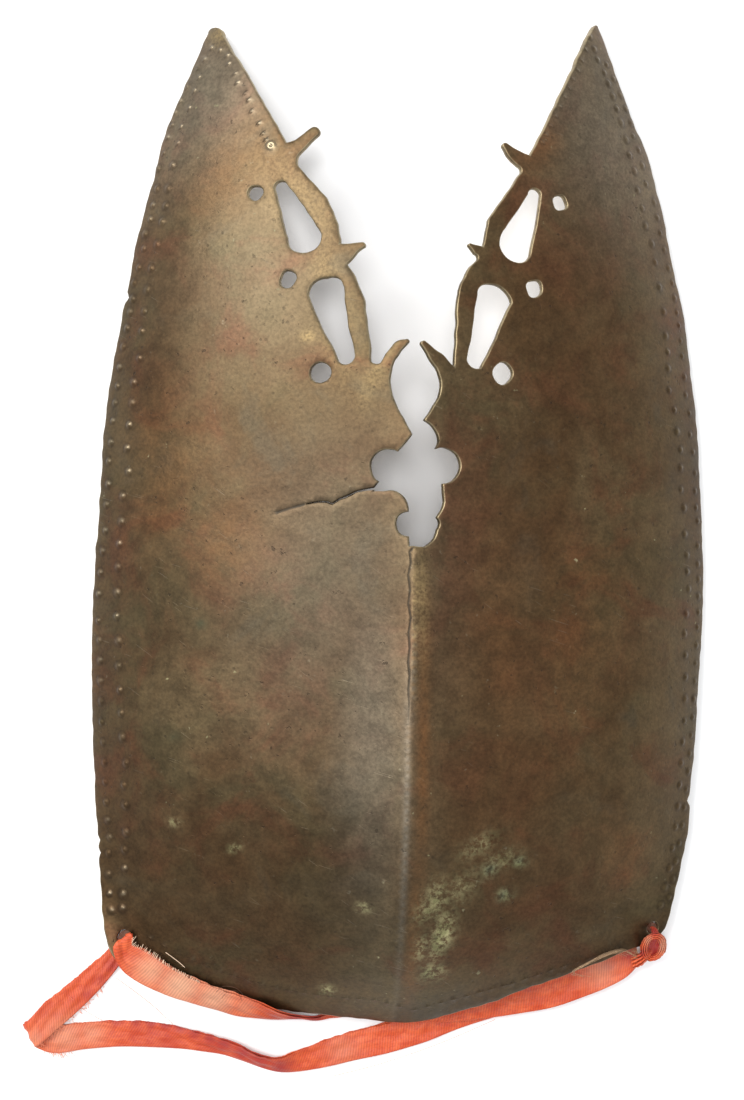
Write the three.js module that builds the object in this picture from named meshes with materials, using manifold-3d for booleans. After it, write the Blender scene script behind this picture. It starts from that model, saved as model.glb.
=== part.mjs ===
import * as THREE from "three";
import Module from "manifold-3d";

const wasm = await Module();
wasm.setup();

// Millimetres. In the tables X runs across the plate from its ridge, Y up along the ridge and Z up
// from the table the plate lies on, ridge upwards.

// ---------------------------------------------------------------- driving dimensions
const SHEET_THICKNESS = 1.8;
const HORN_LIMIT_Y = 146; // the sheet blank ends just above the horn tips
const SLOPE_SHARE = 0.62; // share of the ridge height lost at an even slope out to the rim
const RIM_POWER = 4.7; // how late the rest of the height is lost: the rims turn down steeply
const ROLL_LENGTH = 70; // the face rolls down towards the lower edge over this length
const ROLL_KEEP = 0.1; // share of the height left at the lower edge
const ROLL_POWER = 2.6;
const LOWER_ARC = { y: -125.5, rise: 20, atX: 75 }; // where the roll starts from
const CUT_DEPTH = 6; // reach of a cutter on each side of the face
const GAP_CUT_DEPTH = 11;
const CUTTER_STEP = 9; // a cutter follows the face in steps no longer than this
const GAP_OVERLAP_X = 0.4; // both halves of the V gap are cut a little past the ridge line
const HORN_CUT_CORNER = { x: 63, y: 138.5 };
const RIBBON_THICKNESS = 1.1; // two layers of satin, folded lengthwise
const KNOT_RING = { x: 70.0, y: -106.8, z: 6.35, radiusX: 2.65, radiusY: 3.5, halfWide: 0.9, halfHigh: 0.8, slope: 0.75 };
const ORIGIN_SHIFT_X = 8.795; // puts the origin under the middle of the plate and its ribbon
const ORIGIN_SHIFT_Y = -0.919;

// Half width of the face, rim to ridge
const HALF_WIDTH = [
  { y: -130, value: 66 },
  { y: -110, value: 73.8 },
  { y: -90, value: 79 },
  { y: -60, value: 82 },
  { y: -25, value: 83.2 },
  { y: 10, value: 82.6 },
  { y: 40, value: 80 },
  { y: 70, value: 75.4 },
  { y: 95, value: 70 },
  { y: 115, value: 63.6 },
  { y: 130, value: 57.4 },
  { y: 145, value: 50 },
];
// Height of the ridge over the rim
const RIDGE_HEIGHT = [
  { y: -126, value: 37 },
  { y: -95, value: 38.5 },
  { y: -60, value: 40.5 },
  { y: -20, value: 41.2 },
  { y: 20, value: 40.8 },
  { y: 60, value: 38.6 },
  { y: 100, value: 33.2 },
  { y: 145, value: 24 },
];
// Height of the rim's outer face over the table
const RIM_HEIGHT = [
  { y: -126, value: 4.42 },
  { y: -112, value: 4.02 },
  { y: -98, value: 3.07 },
  { y: -84, value: 2.47 },
  { y: -70, value: 2.32 },
  { y: 60, value: 2.22 },
  { y: 110, value: 2.22 },
  { y: 130, value: 2.72 },
  { y: 145, value: 3.52 },
];

// Outer edges, top to bottom, and the lower edge, left to right
const OUTER_EDGE_LEFT = [
  { x: -52.4, y: 146.0 },
  { x: -54.6, y: 139.2 },
  { x: -60.8, y: 123.9 },
  { x: -65.3, y: 113.0 },
  { x: -68.8, y: 99.2 },
  { x: -71.9, y: 87.0 },
  { x: -74.4, y: 73.3 },
  { x: -77.9, y: 54.1 },
  { x: -79.9, y: 42.5 },
  { x: -81.3, y: 27.1 },
  { x: -82.3, y: 6.0 },
  { x: -83.2, y: -11.8 },
  { x: -83.5, y: -28.1 },
  { x: -83.0, y: -47.0 },
  { x: -81.9, y: -68.6 },
  { x: -80.9, y: -82.1 },
  { x: -79.2, y: -100.9 },
  { x: -78.1, y: -106.4 },
  { x: -76.6, y: -109.5 },
];
const OUTER_EDGE_RIGHT = [
  { x: 51.2, y: 146.0 },
  { x: 53.1, y: 141.7 },
  { x: 58.5, y: 126.6 },
  { x: 62.5, y: 116.9 },
  { x: 66.1, y: 109.5 },
  { x: 69.0, y: 99.6 },
  { x: 71.6, y: 89.3 },
  { x: 74.0, y: 76.4 },
  { x: 76.7, y: 66.7 },
  { x: 78.8, y: 50.5 },
  { x: 80.2, y: 40.1 },
  { x: 81.2, y: 27.8 },
  { x: 82.1, y: 14.9 },
  { x: 83.2, y: -6.0 },
  { x: 83.1, y: -20.0 },
  { x: 82.0, y: -37.6 },
  { x: 81.6, y: -49.4 },
  { x: 80.4, y: -61.1 },
  { x: 79.8, y: -76.5 },
  { x: 78.1, y: -84.1 },
  { x: 76.3, y: -92.5 },
  { x: 75.2, y: -97.2 },
  { x: 73.6, y: -102.4 },
  { x: 72.5, y: -103.8 },
];
const LOWER_EDGE = [
  { x: -76.6, y: -109.5 },
  { x: -74.5, y: -112.2 },
  { x: -70.4, y: -114.4 },
  { x: -63.6, y: -117.7 },
  { x: -55.5, y: -119.9 },
  { x: -44.7, y: -122.5 },
  { x: -33.9, y: -124.5 },
  { x: -23.1, y: -125.4 },
  { x: -9.6, y: -126.8 },
  { x: 1.4, y: -128.0 },
  { x: 6.8, y: -127.6 },
  { x: 16.3, y: -124.8 },
  { x: 25.7, y: -121.8 },
  { x: 34.2, y: -118.3 },
  { x: 44.3, y: -114.8 },
  { x: 52.6, y: -111.9 },
  { x: 62.3, y: -108.3 },
  { x: 68.0, y: -106.3 },
  { x: 72.5, y: -103.8 },
];

// Inner edges of the V gap, from the horn tip down to the foot of the gap. "bow" is the height of
// the arc that leads to the next row, as a share of its chord, to the left of the way walked.
const INNER_EDGE_LEFT = [
  { at: "horn tip, outer", x: -54.6, y: 139.2, bow: 0.22 },
  { at: "horn tip", x: -52.9, y: 140.6, bow: 0.22 },
  { at: "horn, inner edge", x: -50.6, y: 138.2, bow: 0.0 },
  { at: "hook 1, upper root", x: -33.4, y: 106.9, bow: 0.0 },
  { at: "hook 1, upper side", x: -31.0, y: 107.6, bow: -0.01 },
  { at: "hook 1, nose", x: -26.6, y: 110.7, bow: 0.45 },
  { at: "hook 1, under side", x: -25.2, y: 108.5, bow: -0.01 },
  { at: "hook 1, lower root", x: -30.3, y: 103.4, bow: -0.14 },
  { at: "loop 1, outer side", x: -30.3, y: 100.5, bow: -0.01 },
  { at: "loop 1, shoulder", x: -23.0, y: 91.9, bow: 0.06 },
  { at: "hook 2, upper root", x: -19.4, y: 81.0, bow: 0.0 },
  { at: "hook 2, upper side", x: -19.5, y: 79.4, bow: 0.0 },
  { at: "hook 2, nose", x: -13.8, y: 80.0, bow: 0.43 },
  { at: "hook 2, under side", x: -13.3, y: 78.4, bow: -0.06 },
  { at: "loop 2, outer side", x: -17.6, y: 74.2, bow: 0.08 },
  { at: "loop 2, straight", x: -12.5, y: 59.9, bow: 0.02 },
  { at: "slot, near side", x: -11.2, y: 48.7, bow: -0.17 },
  { at: "hook 3, back", x: -8.9, y: 48.2, bow: 0.04 },
  { at: "hook 3, bend", x: -6.0, y: 52.5, bow: 0.13 },
  { at: "hook 3, nose", x: -2.5, y: 54.5, bow: 0.42 },
  { at: "hook 3, throat", x: -1.7, y: 53.6, bow: -0.04 },
  { at: "neck", x: -5.3, y: 49.0, bow: -0.11 },
  { at: "flank", x: -5.1, y: 38.2, bow: -0.01 },
  { at: "spur", x: -0.7, y: 29.9, bow: 0.0 },
  { at: "cusp, upper lobe", x: -4.3, y: 25.3, bow: -0.5 },
  { at: "crack mouth", x: -9.0, y: 17.7, bow: 0.0 },
  { at: "crack mouth, foot", x: -10.7, y: 15.0, bow: 0.0 },
  { at: "nose between lobes", x: -7.4, y: 15.3, bow: 0.25 },
  { at: "cusp, lower lobe", x: -1.4, y: 10.0, bow: -0.49 },
  { at: "lower lobe, end", x: -1.3, y: 3.6, bow: 0.0 },
  { at: "foot of the gap", x: -1.1, y: 1.1, bow: 0.0 },
];
const INNER_EDGE_RIGHT = [
  { at: "horn tip, outer", x: 52.2, y: 143.8, bow: -0.2 },
  { at: "horn tip", x: 51.4, y: 144.1, bow: -0.06 },
  { at: "horn, inner edge", x: 47.8, y: 138.3, bow: 0.0 },
  { at: "hook 1, upper root", x: 31.2, y: 104.7, bow: 0.0 },
  { at: "hook 1, upper side", x: 29.5, y: 105.3, bow: -0.01 },
  { at: "hook 1, nose", x: 24.9, y: 107.6, bow: -0.45 },
  { at: "hook 1, under side", x: 23.8, y: 106.3, bow: -0.06 },
  { at: "hook 1, lower root", x: 27.8, y: 101.7, bow: 0.3 },
  { at: "loop 1, outer side", x: 28.2, y: 99.4, bow: -0.01 },
  { at: "loop 1, shoulder", x: 19.5, y: 86.6, bow: 0.0 },
  { at: "hook 2, upper root", x: 18.2, y: 79.4, bow: 0.0 },
  { at: "hook 2, nose", x: 14.8, y: 80.3, bow: -0.42 },
  { at: "hook 2, under side", x: 14.5, y: 79.2, bow: 0.0 },
  { at: "hook 2, lower root", x: 15.9, y: 77.4, bow: 0.34 },
  { at: "loop 2, outer side", x: 16.4, y: 75.6, bow: -0.1 },
  { at: "loop 2, straight", x: 11.3, y: 65.2, bow: 0.0 },
  { at: "hook 3, back", x: 10.6, y: 47.7, bow: -0.04 },
  { at: "hook 3, nose", x: 3.1, y: 53.8, bow: -0.45 },
  { at: "hook 3, throat", x: 1.7, y: 53.1, bow: 0.02 },
  { at: "neck", x: 5.1, y: 48.0, bow: 0.16 },
  { at: "flank", x: 6.0, y: 38.7, bow: 0.01 },
  { at: "spur", x: 2.9, y: 33.6, bow: 0.11 },
  { at: "below the spur", x: 6.4, y: 29.5, bow: 0.14 },
  { at: "cusp, lobe", x: 5.8, y: 26.2, bow: 0.0 },
  { at: "lobe", x: 7.5, y: 26.6, bow: 0.5 },
  { at: "lobe, end", x: 7.8, y: 17.3, bow: -0.04 },
  { at: "wave 1", x: 8.1, y: 12.6, bow: 0.07 },
  { at: "wave 2", x: 6.4, y: 8.6, bow: 0.19 },
  { at: "wave 3", x: 6.6, y: 5.5, bow: 0.1 },
  { at: "foot of the gap", x: 3.3, y: 1.1, bow: 0.0 },
];

// Teardrop cut-outs; the last row closes on the first
const TEARDROP_UPPER_LEFT = [
  { at: "shoulder", x: -36.3, y: 94.6, bow: 0.44 },
  { at: "narrow end", x: -33.1, y: 95.7, bow: 0.0 },
  { at: "outer side", x: -29.0, y: 89.8, bow: 0.02 },
  { at: "outer side, low", x: -24.4, y: 82.4, bow: 0.16 },
  { at: "broad end", x: -25.1, y: 79.0, bow: 0.17 },
  { at: "broad end, inner", x: -31.0, y: 77.6, bow: 0.13 },
  { at: "inner side", x: -33.0, y: 81.4, bow: 0.0 },
];
const TEARDROP_LOWER_LEFT = [
  { at: "broad end, outer", x: -27.4, y: 66.1, bow: 0.2 },
  { at: "broad end", x: -22.7, y: 70.6, bow: 0.18 },
  { at: "broad end, inner", x: -19.0, y: 69.7, bow: 0.06 },
  { at: "inner side", x: -18.0, y: 64.7, bow: -0.02 },
  { at: "narrow end", x: -15.3, y: 50.4, bow: 0.21 },
  { at: "foot", x: -17.3, y: 48.0, bow: 0.19 },
  { at: "outer side", x: -19.8, y: 49.7, bow: 0.02 },
];
const TEARDROP_UPPER_RIGHT = [
  { at: "narrow end", x: 30.4, y: 94.2, bow: 0.45 },
  { at: "narrow end, outer", x: 33.9, y: 94.4, bow: 0.0 },
  { at: "outer side", x: 32.7, y: 85.8, bow: 0.01 },
  { at: "broad end, outer", x: 30.9, y: 77.8, bow: 0.17 },
  { at: "broad end", x: 27.2, y: 75.8, bow: 0.16 },
  { at: "broad end, inner", x: 22.6, y: 80.1, bow: 0.1 },
  { at: "inner side", x: 24.4, y: 84.7, bow: 0.01 },
];
const TEARDROP_LOWER_RIGHT = [
  { at: "broad end, inner", x: 16.7, y: 66.7, bow: 0.22 },
  { at: "broad end", x: 19.4, y: 69.8, bow: 0.18 },
  { at: "broad end, outer", x: 25.7, y: 65.0, bow: 0.0 },
  { at: "outer side", x: 22.8, y: 58.2, bow: -0.01 },
  { at: "narrow end", x: 17.6, y: 47.5, bow: 0.2 },
  { at: "foot", x: 14.0, y: 49.6, bow: -0.01 },
];

const ROUND_HOLES = [
  { at: "left, top", x: -41.3, y: 93.5, diameter: 4.1 },
  { at: "left, middle", x: -32.6, y: 70.3, diameter: 4.5 },
  { at: "left, low", x: -24.0, y: 45.8, diameter: 5.5 },
  { at: "right, top", x: 39.3, y: 92.5, diameter: 4.2 },
  { at: "right, middle", x: 32.1, y: 69.1, diameter: 4.6 },
  { at: "right, low", x: 23.5, y: 46.4, diameter: 5.6 },
  { at: "tie hole, left corner", x: -73.2, y: -105.4, diameter: 4.4 },
  { at: "tie hole, right corner", x: 70.0, y: -101.9, diameter: 3.4 },
];

// Ribbon: the two borders of the strip, each at the middle of its thickness
const RIBBON_FRONT = [
  { at: "in the hole", ux: -72.4, uy: -104.2, uz: 3.4, lx: -73.8, ly: -106.4, lz: 3.4 },
  { at: "out of the hole", ux: -72.3, uy: -104.2, uz: 5.0, lx: -74.1, ly: -106.6, lz: 5.0 },
  { at: "crest over the hole", ux: -71.4, uy: -103.0, uz: 6.3, lx: -75.7, ly: -107.0, lz: 6.1 },
  { at: "turned over the face", ux: -71.2, uy: -105.0, uz: 6.1, lx: -75.4, ly: -109.6, lz: 5.8 },
  { at: "spread", ux: -71.0, uy: -106.7, uz: 5.7, lx: -74.9, ly: -112.2, lz: 5.3 },
  { at: "over the corner", ux: -68.3, uy: -107.9, uz: 5.9, lx: -72.8, ly: -114.8, lz: 4.9 },
  { at: "on the rim 1", ux: -64.8, uy: -110.0, uz: 6.2, lx: -67.9, ly: -118.0, lz: 4.1 },
  { at: "on the rim 2", ux: -59.9, uy: -113.1, uz: 6.4, lx: -62.0, ly: -120.7, lz: 3.2 },
  { at: "on the rim 3", ux: -54.5, uy: -115.8, uz: 6.4, lx: -56.0, ly: -122.7, lz: 2.7 },
  { at: "on the rim 4", ux: -48.6, uy: -118.1, uz: 6.7, lx: -49.8, ly: -124.5, lz: 2.3 },
  { at: "on the rim 5", ux: -42.1, uy: -120.2, uz: 6.9, lx: -43.0, ly: -126.4, lz: 2.1 },
  { at: "on the rim 6", ux: -36.6, uy: -122.2, uz: 7.1, lx: -37.0, ly: -127.2, lz: 2.2 },
  { at: "hanging 1", ux: -31.5, uy: -124.6, uz: 7.0, lx: -31.5, ly: -127.6, lz: 1.2 },
  { at: "hanging 2", ux: -26.5, uy: -126.0, uz: 5.8, lx: -26.5, ly: -127.3, lz: 1.0 },
  { at: "slipping under", ux: -21.0, uy: -126.7, uz: 3.0, lx: -21.0, ly: -127.5, lz: 0.8 },
  { at: "under the rim 1", ux: -15.5, uy: -124.2, uz: 1.6, lx: -15.5, ly: -127.2, lz: 0.7 },
  { at: "under the rim 2", ux: -9.5, uy: -120.2, uz: 0.8, lx: -10.0, ly: -126.4, lz: 0.7 },
  { at: "under the rim 3", ux: -2.0, uy: -119.4, uz: 1.5, lx: -2.0, ly: -126.2, lz: 1.7 },
  { at: "on to the rear strand", ux: 5.0, uy: -120.4, uz: 2.3, lx: 5.6, ly: -127.8, lz: 2.3 },
  { at: "out at the right 1", ux: 13.4, uy: -120.8, uz: 2.3, lx: 15.0, ly: -128.0, lz: 2.3 },
  { at: "out at the right 2", ux: 22.6, uy: -119.8, uz: 2.3, lx: 24.8, ly: -127.0, lz: 2.3 },
  { at: "beside the rim 1", ux: 31.4, uy: -118.6, uz: 2.3, lx: 33.6, ly: -125.7, lz: 2.3 },
  { at: "beside the rim 2", ux: 40.6, uy: -116.4, uz: 2.3, lx: 42.2, ly: -124.2, lz: 2.3 },
  { at: "beside the rim 3", ux: 48.6, uy: -113.5, uz: 2.3, lx: 50.8, ly: -121.4, lz: 2.3 },
  { at: "beside the rim 4", ux: 55.8, uy: -111.0, uz: 2.3, lx: 58.2, ly: -118.4, lz: 2.3 },
  { at: "beside the rim 5", ux: 61.8, uy: -109.6, uz: 2.3, lx: 63.6, ly: -115.4, lz: 2.3 },
  { at: "at the knot", ux: 66.0, uy: -108.6, uz: 2.3, lx: 66.6, ly: -112.4, lz: 2.3 },
];
const RIBBON_REAR = [
  { at: "under the hole", ux: -73.4, uy: -103.8, uz: 0.7, lx: -71.0, ly: -106.6, lz: 0.7 },
  { at: "under the corner", ux: -75.6, uy: -106.4, uz: 0.7, lx: -73.0, ly: -110.2, lz: 0.7 },
  { at: "out at the corner", ux: -78.0, uy: -109.2, uz: 0.7, lx: -75.6, ly: -114.4, lz: 0.7 },
  { at: "on the table 1", ux: -83.9, uy: -114.4, uz: 0.8, lx: -80.2, ly: -120.0, lz: 0.8 },
  { at: "on the table 2", ux: -90.2, uy: -119.8, uz: 1.2, lx: -86.4, ly: -126.2, lz: 1.2 },
  { at: "rising over itself", ux: -94.6, uy: -123.2, uz: 1.9, lx: -91.4, ly: -130.6, lz: 2.0 },
  { at: "fold, top", ux: -99.0, uy: -128.0, uz: 2.3, lx: -96.0, ly: -134.6, lz: 2.3 },
  { at: "fold, nose", ux: -100.2, uy: -128.8, uz: 1.5, lx: -96.8, ly: -135.2, lz: 1.5 },
  { at: "fold, foot", ux: -99.0, uy: -129.4, uz: 0.7, lx: -94.8, ly: -136.4, lz: 0.7 },
  { at: "back on the table", ux: -91.0, uy: -129.4, uz: 0.7, lx: -90.6, ly: -137.0, lz: 0.7 },
  { at: "lower run 1", ux: -83.1, uy: -128.6, uz: 0.7, lx: -83.6, ly: -135.9, lz: 0.7 },
  { at: "lower run 2", ux: -74.0, uy: -128.2, uz: 0.7, lx: -74.6, ly: -135.2, lz: 0.7 },
  { at: "lower run 3", ux: -64.2, uy: -128.7, uz: 0.9, lx: -65.0, ly: -135.3, lz: 0.8 },
  { at: "lower run 4", ux: -54.3, uy: -130.6, uz: 2.4, lx: -55.4, ly: -135.9, lz: 0.8 },
  { at: "turning up", ux: -44.5, uy: -133.2, uz: 4.2, lx: -45.6, ly: -137.4, lz: 0.9 },
  { at: "on edge", ux: -36.6, uy: -136.6, uz: 5.0, lx: -37.4, ly: -140.2, lz: 1.0 },
  { at: "twist", ux: -31.6, uy: -137.6, uz: 4.0, lx: -30.8, ly: -142.0, lz: 0.9 },
  { at: "past the twist", ux: -25.2, uy: -135.6, uz: 1.8, lx: -24.6, ly: -141.7, lz: 0.7 },
  { at: "upper run 1", ux: -18.4, uy: -133.2, uz: 0.8, lx: -17.4, ly: -140.4, lz: 0.7 },
  { at: "upper run 2", ux: -11.8, uy: -131.0, uz: 0.7, lx: -9.8, ly: -138.6, lz: 0.7 },
  { at: "upper run 3", ux: -3.9, uy: -129.0, uz: 0.7, lx: -1.6, ly: -136.8, lz: 0.7 },
  { at: "upper run 4", ux: 5.8, uy: -126.0, uz: 0.7, lx: 8.4, ly: -133.8, lz: 0.7 },
  { at: "upper run 5", ux: 15.4, uy: -122.6, uz: 0.7, lx: 18.0, ly: -130.0, lz: 0.7 },
  { at: "under the front strand 1", ux: 24.4, uy: -120.0, uz: 0.7, lx: 26.6, ly: -127.2, lz: 0.7 },
  { at: "under the front strand 2", ux: 33.0, uy: -118.2, uz: 0.7, lx: 35.0, ly: -125.1, lz: 0.7 },
  { at: "under the front strand 3", ux: 42.0, uy: -115.8, uz: 0.7, lx: 44.0, ly: -123.2, lz: 0.7 },
  { at: "under the front strand 4", ux: 50.0, uy: -113.0, uz: 0.7, lx: 52.2, ly: -120.4, lz: 0.7 },
  { at: "under the front strand 5", ux: 57.0, uy: -111.0, uz: 0.7, lx: 59.2, ly: -117.4, lz: 0.7 },
  { at: "at the knot", ux: 65.4, uy: -109.2, uz: 0.7, lx: 66.0, ly: -112.6, lz: 0.7 },
];
// The hitch that ties the knot to the corner: the middle line of a band, and its width
const HITCH = [
  { at: "in the ring", x: 70.2, y: -103.2, z: 8.6, wide: 2.6 },
  { at: "over the hole", x: 70.1, y: -102.3, z: 7.8, wide: 2.1 },
  { at: "turning down", x: 70.0, y: -101.9, z: 6.2, wide: 1.6 },
  { at: "in the hole", x: 69.75, y: -101.85, z: 4.4, wide: 1.5 },
  { at: "under the hole", x: 69.4, y: -101.8, z: 2.6, wide: 1.6 },
  { at: "turning out", x: 70.0, y: -102.8, z: 1.7, wide: 2.2 },
  { at: "under the corner", x: 70.4, y: -105.0, z: 1.2, wide: 3.0 },
  { at: "out at the corner", x: 70.6, y: -108.2, z: 1.6, wide: 3.2 },
  { at: "into the ring", x: 70.4, y: -110.2, z: 3.4, wide: 2.8 },
];
// The neck that leads from the ends of the two strands up into the ring
const NECK = [
  { at: "at the strands", ux: 67.0, uy: -109.2, uz: 2.5, lx: 67.3, ly: -112.2, lz: 2.3 },
  { at: "rising", ux: 67.8, uy: -108.8, uz: 3.8, lx: 68.4, ly: -111.6, lz: 3.0 },
  { at: "in the ring", ux: 68.8, uy: -108.4, uz: 5.0, lx: 69.6, ly: -110.8, lz: 4.0 },
];
const HITCH_THICKNESS = 0.9;

// Grid of the face: shares of the half width, and shares of the way from the lower edge up
const COLUMNS = [0, 0.14, 0.28, 0.42, 0.55, 0.66, 0.75, 0.82, 0.88, 0.93, 0.97, 1];
const ROWS = [
  0, 0.02, 0.04, 0.065, 0.09, 0.12, 0.15, 0.185, 0.22, 0.26, 0.31, 0.36, 0.42, 0.48, 0.54, 0.6, 0.66,
  0.71, 0.76, 0.81, 0.85, 0.89, 0.92, 0.95, 0.975, 1,
];

// ---------------------------------------------------------------- the face
// A smooth curve through a table's rows
function curve(table, y) {
  const last = table.length - 1;
  const slope = (a, b) => (table[b].value - table[a].value) / (table[b].y - table[a].y);
  if (y <= table[0].y) return table[0].value + slope(0, 1) * (y - table[0].y);
  if (y >= table[last].y) return table[last].value + slope(last - 1, last) * (y - table[last].y);
  let k = 0;
  while (table[k + 1].y < y) k++;
  const tangent = (i) => slope(Math.max(i - 1, 0), Math.min(i + 1, last));
  const h = table[k + 1].y - table[k].y;
  const t = (y - table[k].y) / h;
  return (
    (2 * t ** 3 - 3 * t * t + 1) * table[k].value +
    (t ** 3 - 2 * t * t + t) * h * tangent(k) +
    (-2 * t ** 3 + 3 * t * t) * table[k + 1].value +
    (t ** 3 - t * t) * h * tangent(k + 1)
  );
}

function roll(x, y) {
  const start = LOWER_ARC.y + LOWER_ARC.rise * (x / LOWER_ARC.atX) ** 2;
  const d = y - start;
  if (d >= ROLL_LENGTH) return 1;
  if (d >= 0) return 1 - (1 - ROLL_KEEP) * (1 - d / ROLL_LENGTH) ** ROLL_POWER;
  return ROLL_KEEP + (d * (1 - ROLL_KEEP) * ROLL_POWER) / ROLL_LENGTH;
}

// Height of the outer face on one side of the ridge (side is -1 or 1); past the ridge that side's
// slope goes on, which only the cutters use
function faceHeight(x, y, side) {
  const q = (side * x) / curve(HALF_WIDTH, y);
  const share = 1 - SLOPE_SHARE * q - (1 - SLOPE_SHARE) * Math.max(q, 0) ** RIM_POWER;
  return curve(RIM_HEIGHT, y) + curve(RIDGE_HEIGHT, y) * share * roll(x, y);
}

function faceNormal(x, y, side) {
  const e = 0.05;
  const gx = (faceHeight(x + e, y, side) - faceHeight(x - e, y, side)) / (2 * e);
  const gy = (faceHeight(x, y + e, side) - faceHeight(x, y - e, side)) / (2 * e);
  return new THREE.Vector3(-gx, -gy, 1).normalize();
}

// The point at (x, y) on the face, moved out by w along the face's normal
function place(x, y, w, side) {
  return new THREE.Vector3(x, y, faceHeight(x, y, side)).addScaledVector(faceNormal(x, y, side), w);
}

// ---------------------------------------------------------------- solids
function solidFromTriangles(points, triangles) {
  const made = new wasm.Manifold(
    new wasm.Mesh({
      numProp: 3,
      vertProperties: new Float32Array(points.flatMap((p) => [p.x, p.y, p.z])),
      triVerts: new Uint32Array(triangles.flat()),
    }),
  );
  return made;
}

function straight(table, key, value, other) {
  let k = 0;
  while (k < table.length - 2 && (table[k + 1][key] - value) * (table[1][key] - table[0][key]) < 0) k++;
  const a = table[k];
  const b = table[k + 1];
  return a[other] + ((b[other] - a[other]) * (value - a[key])) / (b[key] - a[key]);
}

function sheetBlank() {
  const columns = [...COLUMNS.slice(1).map((u) => -u).reverse(), ...COLUMNS];
  const nu = columns.length;
  const nt = ROWS.length;
  const sideX = (side, y) =>
    straight(side < 0 ? OUTER_EDGE_LEFT : OUTER_EDGE_RIGHT, "y", y, "x");
  const outer = [];
  const inner = [];
  for (const u of columns) {
    const side = u < 0 ? -1 : 1;
    // where this column meets the lower edge
    let foot = -110;
    for (let i = 0; i < 40; i++) {
      const x = Math.abs(u) * sideX(side, foot);
      foot = 0.5 * foot + 0.5 * straight(LOWER_EDGE, "x", x, "y");
    }
    for (const t of ROWS) {
      const y = foot + (HORN_LIMIT_Y - foot) * t;
      const x = Math.abs(u) * sideX(side, y);
      outer.push(new THREE.Vector3(x, y, faceHeight(x, y, side)));
      if (u === 0) {
        const n = faceNormal(0, y, 1);
        const middle = new THREE.Vector3(0, n.y, n.z).normalize();
        inner.push(outer.at(-1).clone().addScaledVector(middle, -SHEET_THICKNESS / middle.dot(n)));
      } else inner.push(place(x, y, -SHEET_THICKNESS, side));
    }
  }
  const points = [...outer, ...inner];
  const base = outer.length;
  const at = (i, j) => i * nt + j;
  const triangles = [];
  const quad = (a, b, c, d) => triangles.push([a, b, c], [a, c, d]);
  for (let i = 0; i + 1 < nu; i++)
    for (let j = 0; j + 1 < nt; j++) {
      quad(at(i, j), at(i + 1, j), at(i + 1, j + 1), at(i, j + 1));
      quad(base + at(i, j), base + at(i, j + 1), base + at(i + 1, j + 1), base + at(i + 1, j));
    }
  for (let i = 0; i + 1 < nu; i++) {
    quad(at(i + 1, 0), at(i, 0), base + at(i, 0), base + at(i + 1, 0));
    quad(at(i, nt - 1), at(i + 1, nt - 1), base + at(i + 1, nt - 1), base + at(i, nt - 1));
  }
  for (let j = 0; j + 1 < nt; j++) {
    quad(at(0, j), at(0, j + 1), base + at(0, j + 1), base + at(0, j));
    quad(at(nu - 1, j + 1), at(nu - 1, j), base + at(nu - 1, j), base + at(nu - 1, j + 1));
  }
  return solidFromTriangles(points, triangles);
}

// A row of points with the arcs between them
function arcs(rows, closed) {
  const path = [];
  const count = rows.length;
  for (let i = 0; i < count; i++) {
    const a = rows[i];
    path.push(new THREE.Vector2(a.x, a.y));
    if (!closed && i === count - 1) break;
    const b = rows[(i + 1) % count];
    const dx = b.x - a.x;
    const dy = b.y - a.y;
    const chord = Math.hypot(dx, dy);
    const bow = a.bow;
    if (Math.abs(bow) < 0.015 || chord < 0.3) continue;
    const sagitta = bow * chord;
    const half = 2 * Math.atan(2 * Math.abs(bow)); // half of the arc's angle
    const radius = chord / 2 / Math.sin(half);
    const steps = Math.max(2, Math.min(12, Math.ceil((2 * half) / 0.45)));
    const nx = -dy / chord;
    const ny = dx / chord;
    const sign = Math.sign(sagitta);
    const cx = (a.x + b.x) / 2 + nx * sign * (Math.abs(sagitta) - radius);
    const cy = (a.y + b.y) / 2 + ny * sign * (Math.abs(sagitta) - radius);
    for (let k = 1; k < steps; k++) {
      const f = -half + (2 * half * k) / steps;
      const along = Math.sin(f) * radius;
      const out = Math.cos(f) * radius;
      path.push(
        new THREE.Vector2(
          cx + (dx / chord) * along + nx * sign * out,
          cy + (dy / chord) * along + ny * sign * out,
        ),
      );
    }
  }
  return path;
}

// A cutter that runs along the face's normals, from a loop drawn in plan
function warpedCutter(loop, side, depth) {
  const turned = THREE.ShapeUtils.isClockWise(loop) ? [...loop].reverse() : loop;
  const path = turned.flatMap((p, i) => {
    const next = turned[(i + 1) % turned.length];
    const parts = Math.ceil(p.distanceTo(next) / CUTTER_STEP);
    return Array.from({ length: parts }, (_, k) => p.clone().lerp(next, k / parts));
  });
  const n = path.length;
  const points = [
    ...path.map((p) => place(p.x, p.y, depth, side)),
    ...path.map((p) => place(p.x, p.y, -depth, side)),
  ];
  const triangles = [];
  for (const [a, b, c] of THREE.ShapeUtils.triangulateShape(path, [])) {
    triangles.push([a, b, c], [n + a, n + c, n + b]);
  }
  for (let i = 0; i < n; i++) {
    const j = (i + 1) % n;
    triangles.push([i, n + i, n + j], [i, n + j, j]);
  }
  return solidFromTriangles(points, triangles);
}

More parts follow.
